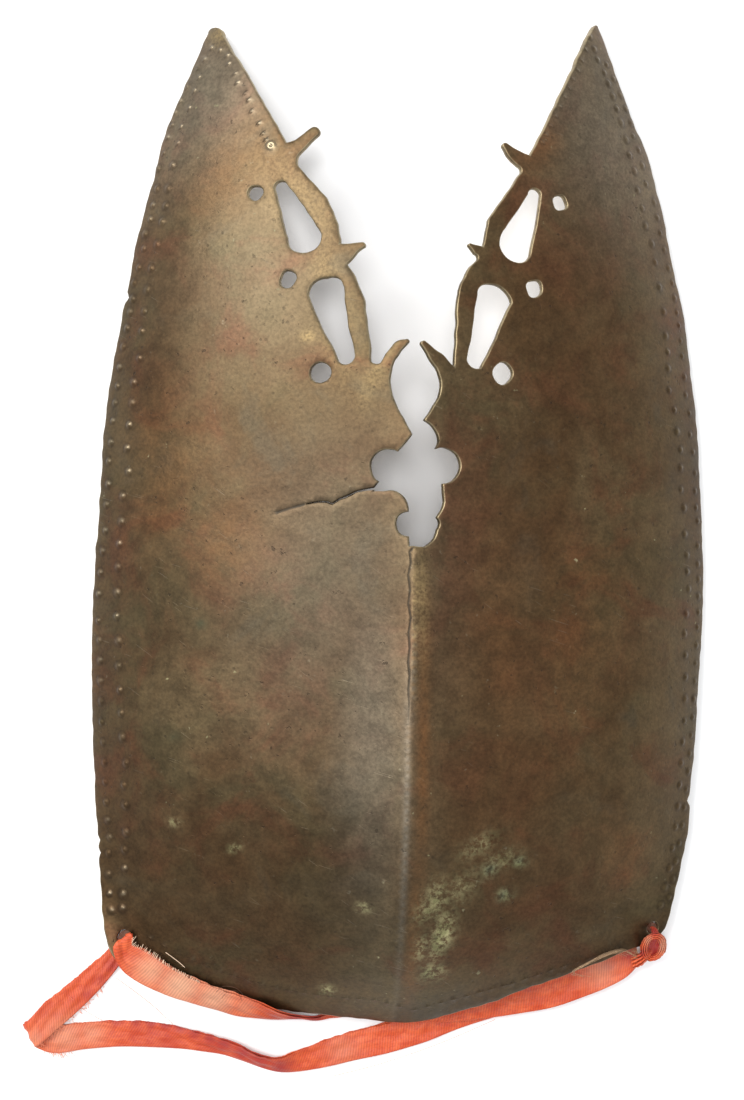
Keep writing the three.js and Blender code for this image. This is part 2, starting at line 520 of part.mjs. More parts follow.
// A round cutter square to the face
function roundCutter({ x, y, diameter }) {
  const side = Math.sign(x);
  const steps = 20;
  const centre = place(x, y, 0, side);
  const n = faceNormal(x, y, side);
  const e1 = new THREE.Vector3(0, 1, 0).cross(n).normalize();
  const e2 = n.clone().cross(e1);
  const points = [];
  for (const w of [CUT_DEPTH, -CUT_DEPTH])
    for (let i = 0; i < steps; i++) {
      const f = (2 * Math.PI * i) / steps;
      points.push(
        centre
          .clone()
          .addScaledVector(e1, (Math.cos(f) * diameter) / 2)
          .addScaledVector(e2, (Math.sin(f) * diameter) / 2)
          .addScaledVector(n, w),
      );
    }
  const triangles = [];
  for (let i = 1; i + 1 < steps; i++)
    triangles.push([0, i, i + 1], [steps, steps + i + 1, steps + i]);
  for (let i = 0; i < steps; i++) {
    const j = (i + 1) % steps;
    triangles.push([i, steps + i, steps + j], [i, steps + j, j]);
  }
  return solidFromTriangles(points, triangles);
}

// The half of the V gap on one side: the inner edge, closed just past the ridge and above the horns
function gapCutter(rows, side) {
  const path = arcs(rows, false);
  const beyond = -side * GAP_OVERLAP_X;
  path.push(new THREE.Vector2(beyond, rows.at(-1).y));
  path.push(new THREE.Vector2(beyond, HORN_LIMIT_Y + 6));
  path.push(new THREE.Vector2(side * HORN_CUT_CORNER.x, HORN_LIMIT_Y + 6));
  path.push(new THREE.Vector2(side * HORN_CUT_CORNER.x, HORN_CUT_CORNER.y));
  return warpedCutter(path, side, GAP_CUT_DEPTH);
}

function forehead() {
  let plate = sheetBlank();
  const cutters = [
    gapCutter(INNER_EDGE_LEFT, -1),
    gapCutter(INNER_EDGE_RIGHT, 1),
    warpedCutter(arcs(TEARDROP_UPPER_LEFT, true), -1, CUT_DEPTH),
    warpedCutter(arcs(TEARDROP_LOWER_LEFT, true), -1, CUT_DEPTH),
    warpedCutter(arcs(TEARDROP_UPPER_RIGHT, true), 1, CUT_DEPTH),
    warpedCutter(arcs(TEARDROP_LOWER_RIGHT, true), 1, CUT_DEPTH),
    ...ROUND_HOLES.map(roundCutter),
  ];
  for (const cutter of cutters) plate = plate.subtract(cutter);
  return plate;
}

// A strip of ribbon between its two borders
function strip(rows, thickness) {
  const upper = rows.map((r) => new THREE.Vector3(r.ux, r.uy, r.uz));
  const lower = rows.map((r) => new THREE.Vector3(r.lx, r.ly, r.lz));
  const middle = upper.map((u, i) => u.clone().add(lower[i]).multiplyScalar(0.5));
  const points = [];
  rows.forEach((_, i) => {
    const before = middle[Math.max(i - 1, 0)];
    const after = middle[Math.min(i + 1, rows.length - 1)];
    const along = after.clone().sub(before).normalize();
    const across = upper[i].clone().sub(lower[i]).normalize();
    const n = along.cross(across).normalize().multiplyScalar(thickness / 2);
    points.push(
      upper[i].clone().add(n),
      lower[i].clone().add(n),
      lower[i].clone().sub(n),
      upper[i].clone().sub(n),
    );
  });
  const triangles = [];
  const quad = (a, b, c, d) => triangles.push([a, b, c], [a, c, d]);
  for (let i = 0; i + 1 < rows.length; i++)
    for (let k = 0; k < 4; k++) {
      const m = (k + 1) % 4;
      quad(4 * i + k, 4 * i + m, 4 * (i + 1) + m, 4 * (i + 1) + k);
    }
  const e = 4 * (rows.length - 1);
  quad(3, 2, 1, 0);
  quad(e, e + 1, e + 2, e + 3);
  const made = solidFromTriangles(points, triangles);
  return made.volume() < 0
    ? solidFromTriangles(points, triangles.map(([a, b, c]) => [a, c, b]))
    : made;
}

function band(rows, thickness) {
  return strip(
    rows.map((r) => ({
      ux: r.x - r.wide / 2,
      uy: r.y,
      uz: r.z,
      lx: r.x + r.wide / 2,
      ly: r.y,
      lz: r.z,
    })),
    thickness,
  );
}

// The knot: a flattened ring leaning on the corner, a band that goes through the hole, and the neck
function knot() {
  const steps = 28;
  const section = 10;
  const points = [];
  for (let i = 0; i < steps; i++) {
    const f = (2 * Math.PI * i) / steps;
    for (let k = 0; k < section; k++) {
      const g = (2 * Math.PI * k) / section;
      const wide = KNOT_RING.halfWide * Math.cos(g);
      points.push(
        new THREE.Vector3(
          KNOT_RING.x + (KNOT_RING.radiusX + wide) * Math.cos(f),
          KNOT_RING.y + (KNOT_RING.radiusY + wide) * Math.sin(f),
          KNOT_RING.z +
            KNOT_RING.slope * KNOT_RING.radiusY * Math.sin(f) +
            KNOT_RING.halfHigh * Math.sin(g),
        ),
      );
    }
  }
  const triangles = [];
  for (let i = 0; i < steps; i++)
    for (let k = 0; k < section; k++) {
      const a = i * section + k;
      const b = ((i + 1) % steps) * section + k;
      const c = ((i + 1) % steps) * section + ((k + 1) % section);
      const d = i * section + ((k + 1) % section);
      triangles.push([a, b, c], [a, c, d]);
    }
  return solidFromTriangles(points, triangles)
    .add(band(HITCH, HITCH_THICKNESS))
    .add(strip(NECK, RIBBON_THICKNESS));
}

// ---------------------------------------------------------------- the part
function mesh(name, solid, look) {
  const m = solid.getMesh();
  const positions = new Float32Array(m.numVert * 3);
  for (let i = 0; i < m.numVert; i++)
    positions.set(m.vertProperties.subarray(i * m.numProp, i * m.numProp + 3), i * 3);
  const geometry = new THREE.BufferGeometry();
  geometry.setAttribute("position", new THREE.BufferAttribute(positions, 3));
  geometry.setIndex(new THREE.BufferAttribute(new Uint32Array(m.triVerts), 1));
  geometry.translate(ORIGIN_SHIFT_X, ORIGIN_SHIFT_Y, 0);
  geometry.computeVertexNormals();
  const made = new THREE.Mesh(geometry, new THREE.MeshStandardMaterial(look));
  made.name = name;
  return made;
}

const PATINATED_COPPER = { color: 0x6b5641, roughness: 0.46, metalness: 0.85 };
const CORAL_SATIN = { color: 0xe8805f, roughness: 0.5, metalness: 0.0 };

const part = new THREE.Group();
part.name = "forehead_plate_part";
part.add(
  mesh("forehead_plate", forehead(), PATINATED_COPPER),
  mesh("ribbon_front", strip(RIBBON_FRONT, RIBBON_THICKNESS), CORAL_SATIN),
  mesh("ribbon_rear", strip(RIBBON_REAR, RIBBON_THICKNESS), CORAL_SATIN),
  mesh("ribbon_knot", knot(), CORAL_SATIN),
);

export default part;
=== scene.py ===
import math

import bpy
import numpy as np
from mathutils import Matrix, Vector
from mathutils.geometry import delaunay_2d_cdt


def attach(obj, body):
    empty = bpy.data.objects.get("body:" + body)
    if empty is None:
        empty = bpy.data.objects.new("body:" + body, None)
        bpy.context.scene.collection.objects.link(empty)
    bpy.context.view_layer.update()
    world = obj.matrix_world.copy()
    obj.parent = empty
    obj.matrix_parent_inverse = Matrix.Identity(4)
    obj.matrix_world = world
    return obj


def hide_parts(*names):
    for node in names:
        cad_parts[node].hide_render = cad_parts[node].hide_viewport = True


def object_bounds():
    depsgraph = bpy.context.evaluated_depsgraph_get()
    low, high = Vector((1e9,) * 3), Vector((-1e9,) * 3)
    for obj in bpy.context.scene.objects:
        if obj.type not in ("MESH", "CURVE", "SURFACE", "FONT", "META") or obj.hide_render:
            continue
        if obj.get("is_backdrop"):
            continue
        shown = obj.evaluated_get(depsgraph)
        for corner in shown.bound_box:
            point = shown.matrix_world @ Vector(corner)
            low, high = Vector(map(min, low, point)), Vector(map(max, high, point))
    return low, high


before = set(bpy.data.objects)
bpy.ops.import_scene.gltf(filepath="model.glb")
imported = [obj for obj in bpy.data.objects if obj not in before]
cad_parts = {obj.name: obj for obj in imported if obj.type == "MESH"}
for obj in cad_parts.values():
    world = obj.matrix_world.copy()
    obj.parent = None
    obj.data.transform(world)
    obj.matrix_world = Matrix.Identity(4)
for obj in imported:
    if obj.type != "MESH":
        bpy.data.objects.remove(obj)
bounds_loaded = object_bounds()
rng = np.random.default_rng(4127)
MM = 0.001
SHIFT = np.array([8.795, -0.919, 0.0])  # plate axes to the row frame, mm
scene = bpy.context.scene

# ------------------------------------------------------------------ camera
TARGET = np.array([-8.7, 0.0, 15.0]) + SHIFT
DISTANCE, TILT, TURN = 700.0, math.radians(3.6), math.radians(0.8)
PICTURE_H, FOCAL_PX = 1100, 2625.0
look = np.array([math.sin(TILT), 0.0, -math.cos(TILT)])
up0 = np.array([-math.sin(TURN), math.cos(TURN), 0.0])
right = np.cross(look, up0)
right /= np.linalg.norm(right)
up = np.cross(right, look)
cam_data = bpy.data.cameras.new("camera")
cam = bpy.data.objects.new("camera", cam_data)
scene.collection.objects.link(cam)
cam_data.sensor_fit = "VERTICAL"
cam_data.angle = 2 * math.atan(PICTURE_H / 2 / FOCAL_PX)
cam_data.clip_start, cam_data.clip_end = 0.01, 20
cam_data.dof.use_dof = False
where = (TARGET - DISTANCE * look) * MM
turned = Matrix((right, up, -look)).transposed().to_4x4()
cam.matrix_world = Matrix.Translation(Vector(where)) @ turned
scene.camera = cam


# ------------------------------------------------------------------ tables of the plate, mm
THICK = 1.8
SLOPE_SHARE, RIM_POWER = 0.62, 4.7
ROLL_LENGTH, ROLL_KEEP, ROLL_POWER = 70.0, 0.1, 2.6
LOWER_Y, LOWER_RISE, LOWER_AT = -125.5, 20.0, 75.0
SOFT_RIDGE = 1.0

HALF_WIDTH = [(-130, 66), (-110, 73.8), (-90, 79), (-60, 82), (-25, 83.2), (10, 82.6), (40, 80), (70, 75.4), (95, 70), (115, 63.6), (130, 57.4), (145, 50)]
RIDGE_HEIGHT = [(-126, 37), (-95, 38.5), (-60, 40.5), (-20, 41.2), (20, 40.8), (60, 38.6), (100, 33.2), (145, 24)]
RIM_HEIGHT = [(-126, 4.42), (-112, 4.02), (-98, 3.07), (-84, 2.47), (-70, 2.32), (60, 2.22), (110, 2.22), (130, 2.72), (145, 3.52)]
OUTER_LEFT = [(-54.6, 139.2), (-60.8, 123.9), (-65.3, 113.0), (-68.8, 99.2), (-71.9, 87.0), (-74.4, 73.3), (-77.9, 54.1), (-79.9, 42.5), (-81.3, 27.1), (-82.3, 6.0), (-83.2, -11.8), (-83.5, -28.1), (-83.0, -47.0), (-81.9, -68.6), (-80.9, -82.1), (-79.2, -100.9), (-78.1, -106.4), (-76.6, -109.5)]
OUTER_RIGHT = [(53.1, 141.7), (58.5, 126.6), (62.5, 116.9), (66.1, 109.5), (69.0, 99.6), (71.6, 89.3), (74.0, 76.4), (76.7, 66.7), (78.8, 50.5), (80.2, 40.1), (81.2, 27.8), (82.1, 14.9), (83.2, -6.0), (83.1, -20.0), (82.0, -37.6), (81.6, -49.4), (80.4, -61.1), (79.8, -76.5), (78.1, -84.1), (76.3, -92.5), (75.2, -97.2), (73.6, -102.4), (72.5, -103.8)]
LOWER = [(-76.6, -109.5), (-74.5, -112.2), (-70.4, -114.4), (-63.6, -117.7), (-55.5, -119.9), (-44.7, -122.5), (-33.9, -124.5), (-23.1, -125.4), (-9.6, -126.8), (1.4, -128.0), (6.8, -127.6), (16.3, -124.8), (25.7, -121.8), (34.2, -118.3), (44.3, -114.8), (52.6, -111.9), (62.3, -108.3), (68.0, -106.3), (72.5, -103.8)]

# x, y, bow of the arc that leads on to the next row
INNER_LEFT = [
    (-54.6, 139.2, 0.22), (-52.9, 140.6, 0.22), (-50.6, 138.2, 0.0), (-33.4, 106.9, 0.0), (-31.0, 107.6, -0.01), (-26.6, 110.7, 0.45),
    (-25.2, 108.5, -0.01), (-30.3, 103.4, -0.14), (-30.3, 100.5, -0.01), (-23.0, 91.9, 0.06), (-19.4, 81.0, 0.0), (-19.5, 79.4, 0.0),
    (-13.8, 80.0, 0.43), (-13.3, 78.4, -0.06), (-17.6, 74.2, 0.08), (-12.5, 59.9, 0.02), (-11.2, 48.7, -0.17), (-8.9, 48.2, 0.04),
    (-6.0, 52.5, 0.13), (-2.5, 54.5, 0.42), (-1.7, 53.6, -0.04), (-5.3, 49.0, -0.11), (-5.1, 38.2, -0.01), (-0.7, 29.9, 0.0),
    (-4.3, 25.3, -0.5), (-9.0, 17.7, 0.0), "crack", (-10.7, 15.0, 0.0), (-7.4, 15.3, 0.25), (-1.4, 10.0, -0.49), (-1.3, 3.6, 0.0), (-1.1, 1.1, 0.0),
]
# The crack that runs out of the gap's left side: middle line, and half its width
CRACK_SIDE = [(-10.15, 15.75, 0.34), (-11.6, 15.55, 0.27), (-14.5, 14.95, 0.22), (-17.3, 13.6, 0.19), (-18.8, 13.05, 0.16), (-20.6, 11.8, 0.14), (-21.9, 12.3, 0.12), (-24.2, 12.3, 0.09), (-27.2, 11.7, 0.05)]
INNER_RIGHT = [
    (52.2, 143.8, -0.2), (51.4, 144.1, -0.06), (47.8, 138.3, 0.0), (31.2, 104.7, 0.0), (29.5, 105.3, -0.01), (24.9, 107.6, -0.45),
    (23.8, 106.3, -0.06), (27.8, 101.7, 0.3), (28.2, 99.4, -0.01), (19.5, 86.6, 0.0), (18.2, 79.4, 0.0), (14.8, 80.3, -0.42),
    (14.5, 79.2, 0.0), (15.9, 77.4, 0.34), (16.4, 75.6, -0.1), (11.3, 65.2, 0.0), (10.6, 47.7, -0.04), (3.1, 53.8, -0.45),
    (1.7, 53.1, 0.02), (5.1, 48.0, 0.16), (6.0, 38.7, 0.01), (2.9, 33.6, 0.11), (6.4, 29.5, 0.14), (5.8, 26.2, 0.0), (7.5, 26.6, 0.5),
    (7.8, 17.3, -0.04), (8.1, 12.6, 0.07), (6.4, 8.6, 0.19), (6.6, 5.5, 0.1), (3.3, 1.1, 0.0),
]
TEARDROPS = [
    [(-36.3, 94.6, 0.44), (-33.1, 95.7, 0.0), (-29.0, 89.8, 0.02), (-24.4, 82.4, 0.16), (-25.1, 79.0, 0.17), (-31.0, 77.6, 0.13), (-33.0, 81.4, 0.0)],
    [(-27.4, 66.1, 0.2), (-22.7, 70.6, 0.18), (-19.0, 69.7, 0.06), (-18.0, 64.7, -0.02), (-15.3, 50.4, 0.21), (-17.3, 48.0, 0.19), (-19.8, 49.7, 0.02)],
    [(30.4, 94.2, 0.45), (33.9, 94.4, 0.0), (32.7, 85.8, 0.01), (30.9, 77.8, 0.17), (27.2, 75.8, 0.16), (22.6, 80.1, 0.1), (24.4, 84.7, 0.01)],
    [(16.7, 66.7, 0.22), (19.4, 69.8, 0.18), (25.7, 65.0, 0.0), (22.8, 58.2, -0.01), (17.6, 47.5, 0.2), (14.0, 49.6, -0.01)],
]
ROUND_HOLES = [(-41.3, 93.5, 4.1), (-32.6, 70.3, 4.5), (-24.0, 45.8, 5.5), (39.3, 92.5, 4.2), (32.1, 69.1, 4.6), (23.5, 46.4, 5.6), (-73.2, -105.4, 4.4), (70.0, -101.9, 3.4)]
# dents filed into the outer edge: x, y, depth, half width
NICKS = [(-76.6, 67.3, 0.9, 1.0), (-81.1, -79.6, 0.5, 0.9), (-80.9, -82.9, 0.45, 0.7), (80.3, -67.1, 0.8, 1.0)]

# Punched rows, one x, y for each mark
PUNCH_LEFT_INNER = [(-57.7, 123.0), (-59.1, 118.3), (-61.2, 113.3), (-62.0, 108.6), (-63.3, 102.6), (-64.5, 96.3), (-65.0, 91.5), (-65.8, 87.1), (-67.0, 81.0), (-68.5, 74.6), (-69.5, 68.8), (-70.3, 63.1), (-70.8, 57.7), (-71.4, 50.4), (-72.9, 44.0), (-73.2, 38.5), (-73.9, 32.6), (-74.4, 26.4), (-74.0, 20.1), (-75.6, 13.5), (-75.6, 6.8), (-76.0, 0.8), (-76.3, -5.4), (-76.4, -12.2), (-76.6, -18.6), (-76.0, -25.2), (-75.9, -31.9), (-75.4, -38.3), (-74.9, -44.4), (-74.5, -50.8), (-73.4, -57.7), (-73.9, -63.7), (-73.5, -69.1), (-73.3, -76.4), (-73.7, -81.3), (-73.6, -86.3), (-73.9, -93.4), (-74.0, -97.3)]
PUNCH_LEFT_OUTER = [(-59.7, 124.3), (-61.5, 120.6), (-62.8, 117.5), (-63.7, 114.0), (-64.7, 110.6), (-65.8, 106.3), (-67.3, 102.2), (-67.5, 96.6), (-68.5, 92.1), (-69.1, 88.2), (-70.4, 84.3), (-70.6, 80.2), (-71.9, 75.1), (-73.2, 71.0), (-73.5, 66.6), (-74.2, 63.1), (-74.9, 58.8), (-75.9, 53.8), (-76.9, 48.3), (-77.4, 43.2), (-78.0, 38.7), (-78.5, 33.8), (-78.9, 28.0), (-79.5, 22.9), (-79.6, 16.8), (-80.0, 11.3), (-80.1, 4.3), (-80.7, -1.2), (-81.2, -7.0), (-81.6, -12.8), (-81.6, -20.0), (-81.3, -25.2), (-81.0, -30.6), (-80.8, -36.2), (-80.5, -41.6), (-80.3, -47.2), (-79.8, -52.6), (-79.4, -58.0), (-79.1, -63.3), (-78.8, -68.7), (-78.4, -73.6), (-77.8, -78.2), (-78.1, -82.6), (-78.0, -88.3), (-77.6, -93.5), (-77.0, -98.0)]
PUNCH_RIGHT_INNER = [(49.1, 140.0), (50.3, 136.6), (51.2, 133.7), (53.1, 130.3), (54.2, 127.4), (55.5, 123.9), (56.6, 120.5), (57.9, 116.8), (59.4, 112.3), (60.2, 108.0), (61.7, 103.7), (62.5, 98.4), (63.9, 93.6), (64.9, 88.8), (66.8, 84.1), (67.7, 79.1), (68.7, 72.3), (69.9, 65.6), (70.4, 59.0), (71.0, 54.7), (71.1, 50.3), (71.4, 44.3), (73.0, 39.0), (73.8, 33.2), (74.9, 28.3), (74.9, 23.4), (75.1, 17.5), (76.2, 12.6), (76.6, 5.5), (77.4, -0.2), (77.5, -4.6), (78.1, -9.4), (77.4, -16.1), (77.0, -21.5), (77.4, -27.3), (77.5, -33.3), (77.5, -39.2), (77.5, -45.2), (77.0, -50.9), (76.7, -56.6), (76.4, -62.6), (76.2, -68.4), (75.6, -74.1), (74.9, -79.9), (74.3, -85.4), (73.0, -90.6), (72.0, -95.5)]
PUNCH_RIGHT_OUTER = [(54.0, 132.9), (56.0, 129.1), (58.0, 124.8), (59.6, 121.1), (61.1, 117.4), (61.7, 113.8), (63.3, 109.9), (64.3, 105.7), (65.3, 100.6), (67.9, 95.9), (68.8, 91.7), (69.6, 87.5), (70.8, 83.0), (72.0, 78.0), (73.1, 74.0), (73.7, 69.9), (74.4, 65.9), (75.0, 62.4), (75.5, 58.2), (75.9, 54.0), (76.6, 48.3), (76.9, 43.4), (78.0, 38.5), (78.1, 32.6), (79.1, 27.9), (79.9, 22.3), (79.9, 17.3), (80.3, 12.8), (80.9, 9.2), (81.0, 2.4), (81.1, -2.6), (81.4, -6.7), (81.4, -11.4), (81.5, -15.7), (81.3, -19.8), (81.1, -24.7), (80.9, -29.6), (80.7, -34.5), (80.5, -39.4), (80.3, -44.3), (79.9, -49.2), (79.5, -54.2), (79.1, -59.1), (78.7, -64.0), (78.3, -68.9), (77.8, -73.8), (77.0, -78.7), (76.2, -83.6), (75.4, -88.5), (74.4, -93.5)]
HORN_LEFT_TOP = [(-53.3, 134.7), (-55.1, 131.7), (-56.8, 129.5), (-56.5, 126.7)]
HORN_LEFT_GAP = [(-51.0, 133.6), (-49.0, 131.8), (-48.7, 129.4), (-46.9, 126.4), (-46.3, 123.8), (-44.2, 120.7), (-43.3, 118.8), (-42.6, 115.7), (-40.6, 112.3), (-39.5, 109.4), (-38.6, 107.6)]
HORN_RIGHT_GAP = [(47.4, 136.0), (46.1, 132.5), (44.9, 129.5), (43.3, 126.9), (42.1, 124.2), (40.8, 121.6), (39.4, 118.8), (38.1, 116.0), (36.8, 113.3), (35.5, 110.7), (34.5, 108.6)]
LOWER_ROW = [(-66.4, -105.1), (-62.7, -107.1), (-58.9, -108.9), (-55.1, -110.5), (-51.3, -112.0), (-47.6, -113.4), (-43.8, -114.7), (-40.0, -115.8), (-36.3, -116.8), (-32.5, -117.7), (-28.8, -118.3), (-25.0, -118.8), (-21.3, -119.3), (-17.6, -119.7), (-13.8, -119.9), (-10.1, -120.1), (-6.1, -120.3), (-2.6, -121.3), (0.7, -122.3), (4.9, -123.4), (8.3, -122.4), (11.8, -121.3), (15.2, -120.3), (18.7, -119.3), (22.2, -118.3), (25.4, -117.4), (28.6, -116.6), (30.8, -116.0), (34.3, -114.7), (37.8, -113.6), (41.4, -112.4), (45.0, -111.4), (48.6, -110.4), (52.2, -109.3), (55.9, -108.2), (59.5, -107.1)]
CRACK_RIDGE = [(0.3, 1.0), (-0.8, -0.4), (-0.4, -3.2), (-1.1, -6.3), (-0.5, -10.1), (-1.0, -13.7), (-0.2, -17.3), (-0.8, -21.1), (-0.4, -25.0), (-0.8, -28.6), (-0.3, -32.1), (-0.6, -35.7), (-0.3, -39.6), (-0.5, -42.9)]
CRACK_TAIL = [(-27.2, 11.7), (-31.8, 10.4), (-34.4, 9.5)]

# colour patches: x, y, radius along, radius across, turn in degrees, strength
VERDIGRIS = [(5.3, -94.0, 3.0, 2.0, 60, 0.6), (10.3, -100.7, 5.2, 2.2, 75, 1.0), (8.4, -111.5, 2.6, 1.8, 0, 0.9), (8.4, -90.8, 4.0, 2.6, 80, 0.7), (24.9, -80.5, 4.0, 2.0, 20, 0.45), (30.1, -81.2, 1.6, 1.2, 0, 0.8), (26.7, -90.1, 1.6, 1.4, 0, 0.8), (22.3, -83.1, 2.0, 1.5, 30, 0.7), (19.3, -76.3, 5.0, 2.0, 30, 0.4), (-60.3, -72.6, 1.2, 0.9, 0, 0.6), (-44.5, -78.6, 1.4, 0.9, 30, 0.7), (-10.5, -92.9, 1.6, 1.2, 0, 0.6), (-19.0, -117.6, 1.6, 1.2, 0, 0.7), (5.0, -104.0, 3.2, 1.6, 80, 0.6), (14.0, -88.0, 6.0, 3.0, 40, 0.35)]
DARK_GREEN = [(30.1, -81.2, 1.6, 1.2, 0, 1.0), (26.7, -90.1, 1.7, 1.3, 20, 1.0), (22.3, -83.1, 2.0, 1.4, 30, 0.9), (-16.0, 52.0, 1.6, 1.2, 0, 0.4), (-54.0, -20.0, 1.2, 0.9, 0, 0.7), (-60.0, -50.0, 1.4, 1.0, 0, 0.6)]
ORANGE = [(-65.2, 14.4, 14, 7, 80, 0.55), (-68.0, 30.0, 12, 5, 80, 0.5), (-48.4, 0.9, 12, 9, 60, 0.45), (45.6, -25.5, 22, 9, 80, 0.5), (44.0, -10.0, 14, 9, 80, 0.4), (33.8, 106.4, 7, 4, 50, 0.7), (-50.0, 100.0, 12, 7, 60, 0.4), (3.4, -52.0, 30, 1.6, 90, 0.95), (2.6, -100.0, 24, 1.5, 90, 0.7), (60.0, -80.0, 9, 5, 100, 0.45), (24.0, -25.0, 26, 7, 95, 0.35)]
BRASS = [(-27.2, 55.3, 1.3, 1.0, 0, 1.0), (2.6, -12.0, 12, 1.3, 92, 0.75), (0.8, -16.0, 15, 0.5, 91, 0.9), (-21.0, 62.0, 14, 3.0, 100, 0.5), (-30.0, 90.0, 12, 5.0, 120, 0.30), (-51.5, 138.0, 3, 2.2, 120, 0.9), (-37.1, 106.3, 0.9, 0.9, 0, 1.0), (-10.5, 45.0, 8, 2.0, 70, 0.35)]
# painted sheen: a highlight along the ridge's left shoulder and a pale reflection on the left half and the horns; and
# the warmer right half
PAINTED_SHEEN = [(-0.6, -72.0, 34, 0.7, 90, 1.0), (-1.2, -52.0, 30, 1.6, 90, 0.5), (-9.0, -48.0, 40, 9.0, 92, 0.5), (-14.0, -2.0, 22, 12.0, 80, 0.25), (0.6, -30.0, 12, 0.45, 90, 1.0), (-52.0, 122.0, 24, 13, 65, 0.50), (50.0, 112.0, 30, 14, 115, 0.45), (-40.0, 74.0, 30, 22, 90, 0.20), (-20.0, -8.0, 36, 26, 90, 0.30)]
WARM = [(22.0, -40.0, 60, 18, 90, 0.55), (45.0, 60.0, 50, 16, 100, 0.25), (-40.0, -95.0, 34, 16, 0, 0.25)]


# ------------------------------------------------------------------ the face
def curve(table, y):
    t = np.asarray(table, float)
    ys, v = t[:, 0], t[:, 1]
    s = np.empty(len(ys))
    s[1:-1] = (v[2:] - v[:-2]) / (ys[2:] - ys[:-2])
    s[0] = (v[1] - v[0]) / (ys[1] - ys[0])
    s[-1] = (v[-1] - v[-2]) / (ys[-1] - ys[-2])
    y = np.asarray(y, float)
    k = np.clip(np.searchsorted(ys, y) - 1, 0, len(ys) - 2)
    h = ys[k + 1] - ys[k]
    u = (y - ys[k]) / h
    inside = (2 * u**3 - 3 * u * u + 1) * v[k] + (u**3 - 2 * u * u + u) * h * s[k] + (-2 * u**3 + 3 * u * u) * v[k + 1] + (u**3 - u * u) * h * s[k + 1]
    low = v[0] + s[0] * (y - ys[0])
    high = v[-1] + s[-1] * (y - ys[-1])
    return np.where(y <= ys[0], low, np.where(y >= ys[-1], high, inside))


def roll(x, y):
    d = y - (LOWER_Y + LOWER_RISE * (x / LOWER_AT) ** 2)
    up_part = 1 - (1 - ROLL_KEEP) * np.clip(1 - d / ROLL_LENGTH, 0, 1) ** ROLL_POWER
    return np.where(d >= 0, up_part, ROLL_KEEP + d * (1 - ROLL_KEEP) * ROLL_POWER / ROLL_LENGTH)


def height(x, y):
    q = np.sqrt(x * x + SOFT_RIDGE**2) / curve(HALF_WIDTH, y)
    share = 1 - SLOPE_SHARE * q - (1 - SLOPE_SHARE) * q**RIM_POWER
    return curve(RIM_HEIGHT, y) + curve(RIDGE_HEIGHT, y) * share * roll(x, y)


def normal(x, y):
    e = 0.05
    gx = (height(x + e, y) - height(x - e, y)) / (2 * e)
    gy = (height(x, y + e) - height(x, y - e)) / (2 * e)
    n = np.stack([-gx, -gy, np.ones_like(gx)], -1)
    return n / np.linalg.norm(n, axis=-1, keepdims=True)


def place(xy, w):
    x, y = xy[:, 0], xy[:, 1]
    return np.stack([x, y, height(x, y)], -1) + normal(x, y) * np.asarray(w).reshape(-1, 1)


# ------------------------------------------------------------------ outlines
def arcs(rows, closed):
    path = []
    for i, a in enumerate(rows):
        path.append((a[0], a[1]))
        if not closed and i == len(rows) - 1:
            break
        b = rows[(i + 1) % len(rows)]
        if isinstance(a, str) or isinstance(b, str):
            continue
        dx, dy, bow = b[0] - a[0], b[1] - a[1], a[2]
        chord = math.hypot(dx, dy)
        if abs(bow) < 0.015 or chord < 0.3:
            continue
        half = 2 * math.atan(2 * abs(bow))
        radius = chord / 2 / math.sin(half)
        steps = max(2, math.ceil(2 * half / 0.16))
        nx, ny, sign, sag = -dy / chord, dx / chord, math.copysign(1, bow), abs(bow) * chord
        cx = (a[0] + b[0]) / 2 + nx * sign * (sag - radius)
        cy = (a[1] + b[1]) / 2 + ny * sign * (sag - radius)
        for k in range(1, steps):
            f = -half + 2 * half * k / steps
            along, out = math.sin(f) * radius, math.cos(f) * radius
            path.append((cx + dx / chord * along + nx * sign * out, cy + dy / chord * along + ny * sign * out))
    return path


def smooth_line(points, step):
    """A centripetal curve through the points, sampled about every step."""
    p = np.asarray(points, float)
    p = np.vstack([2 * p[0] - p[1], p, 2 * p[-1] - p[-2]])
    out = []
    for i in range(1, len(p) - 2):
        a, b, c, d = p[i - 1], p[i], p[i + 1], p[i + 2]
        t0 = 0
        t1 = t0 + max(np.linalg.norm(b - a), 1e-6) ** 0.5
        t2 = t1 + max(np.linalg.norm(c - b), 1e-6) ** 0.5
        t3 = t2 + max(np.linalg.norm(d - c), 1e-6) ** 0.5
        n = max(1, math.ceil(np.linalg.norm(c - b) / step))
        for k in range(n):
            t = t1 + (t2 - t1) * k / n
            a1 = (t1 - t) / (t1 - t0) * a + (t - t0) / (t1 - t0) * b
            a2 = (t2 - t) / (t2 - t1) * b + (t - t1) / (t2 - t1) * c
            a3 = (t3 - t) / (t3 - t2) * c + (t - t2) / (t3 - t2) * d
            b1 = (t2 - t) / (t2 - t0) * a1 + (t - t0) / (t2 - t0) * a2
            b2 = (t3 - t) / (t3 - t1) * a2 + (t - t1) / (t3 - t1) * a3
            out.append((t2 - t) / (t2 - t1) * b1 + (t - t1) / (t2 - t1) * b2)
    out.append(p[-2])
    return [tuple(x) for x in out]


def resample(loop, step):
    out = []
    for i, a in enumerate(loop):
        b = loop[(i + 1) % len(loop)]
        d = math.hypot(b[0] - a[0], b[1] - a[1])
        if d < 0.03:
            continue
        n = max(1, math.ceil(d / step))
        for k in range(n):
            out.append((a[0] + (b[0] - a[0]) * k / n, a[1] + (b[1] - a[1]) * k / n))
    return np.array(out)


def area_of(p):
    return 0.5 * np.sum(p[:, 0] * np.roll(p[:, 1], -1) - np.roll(p[:, 0], -1) * p[:, 1])


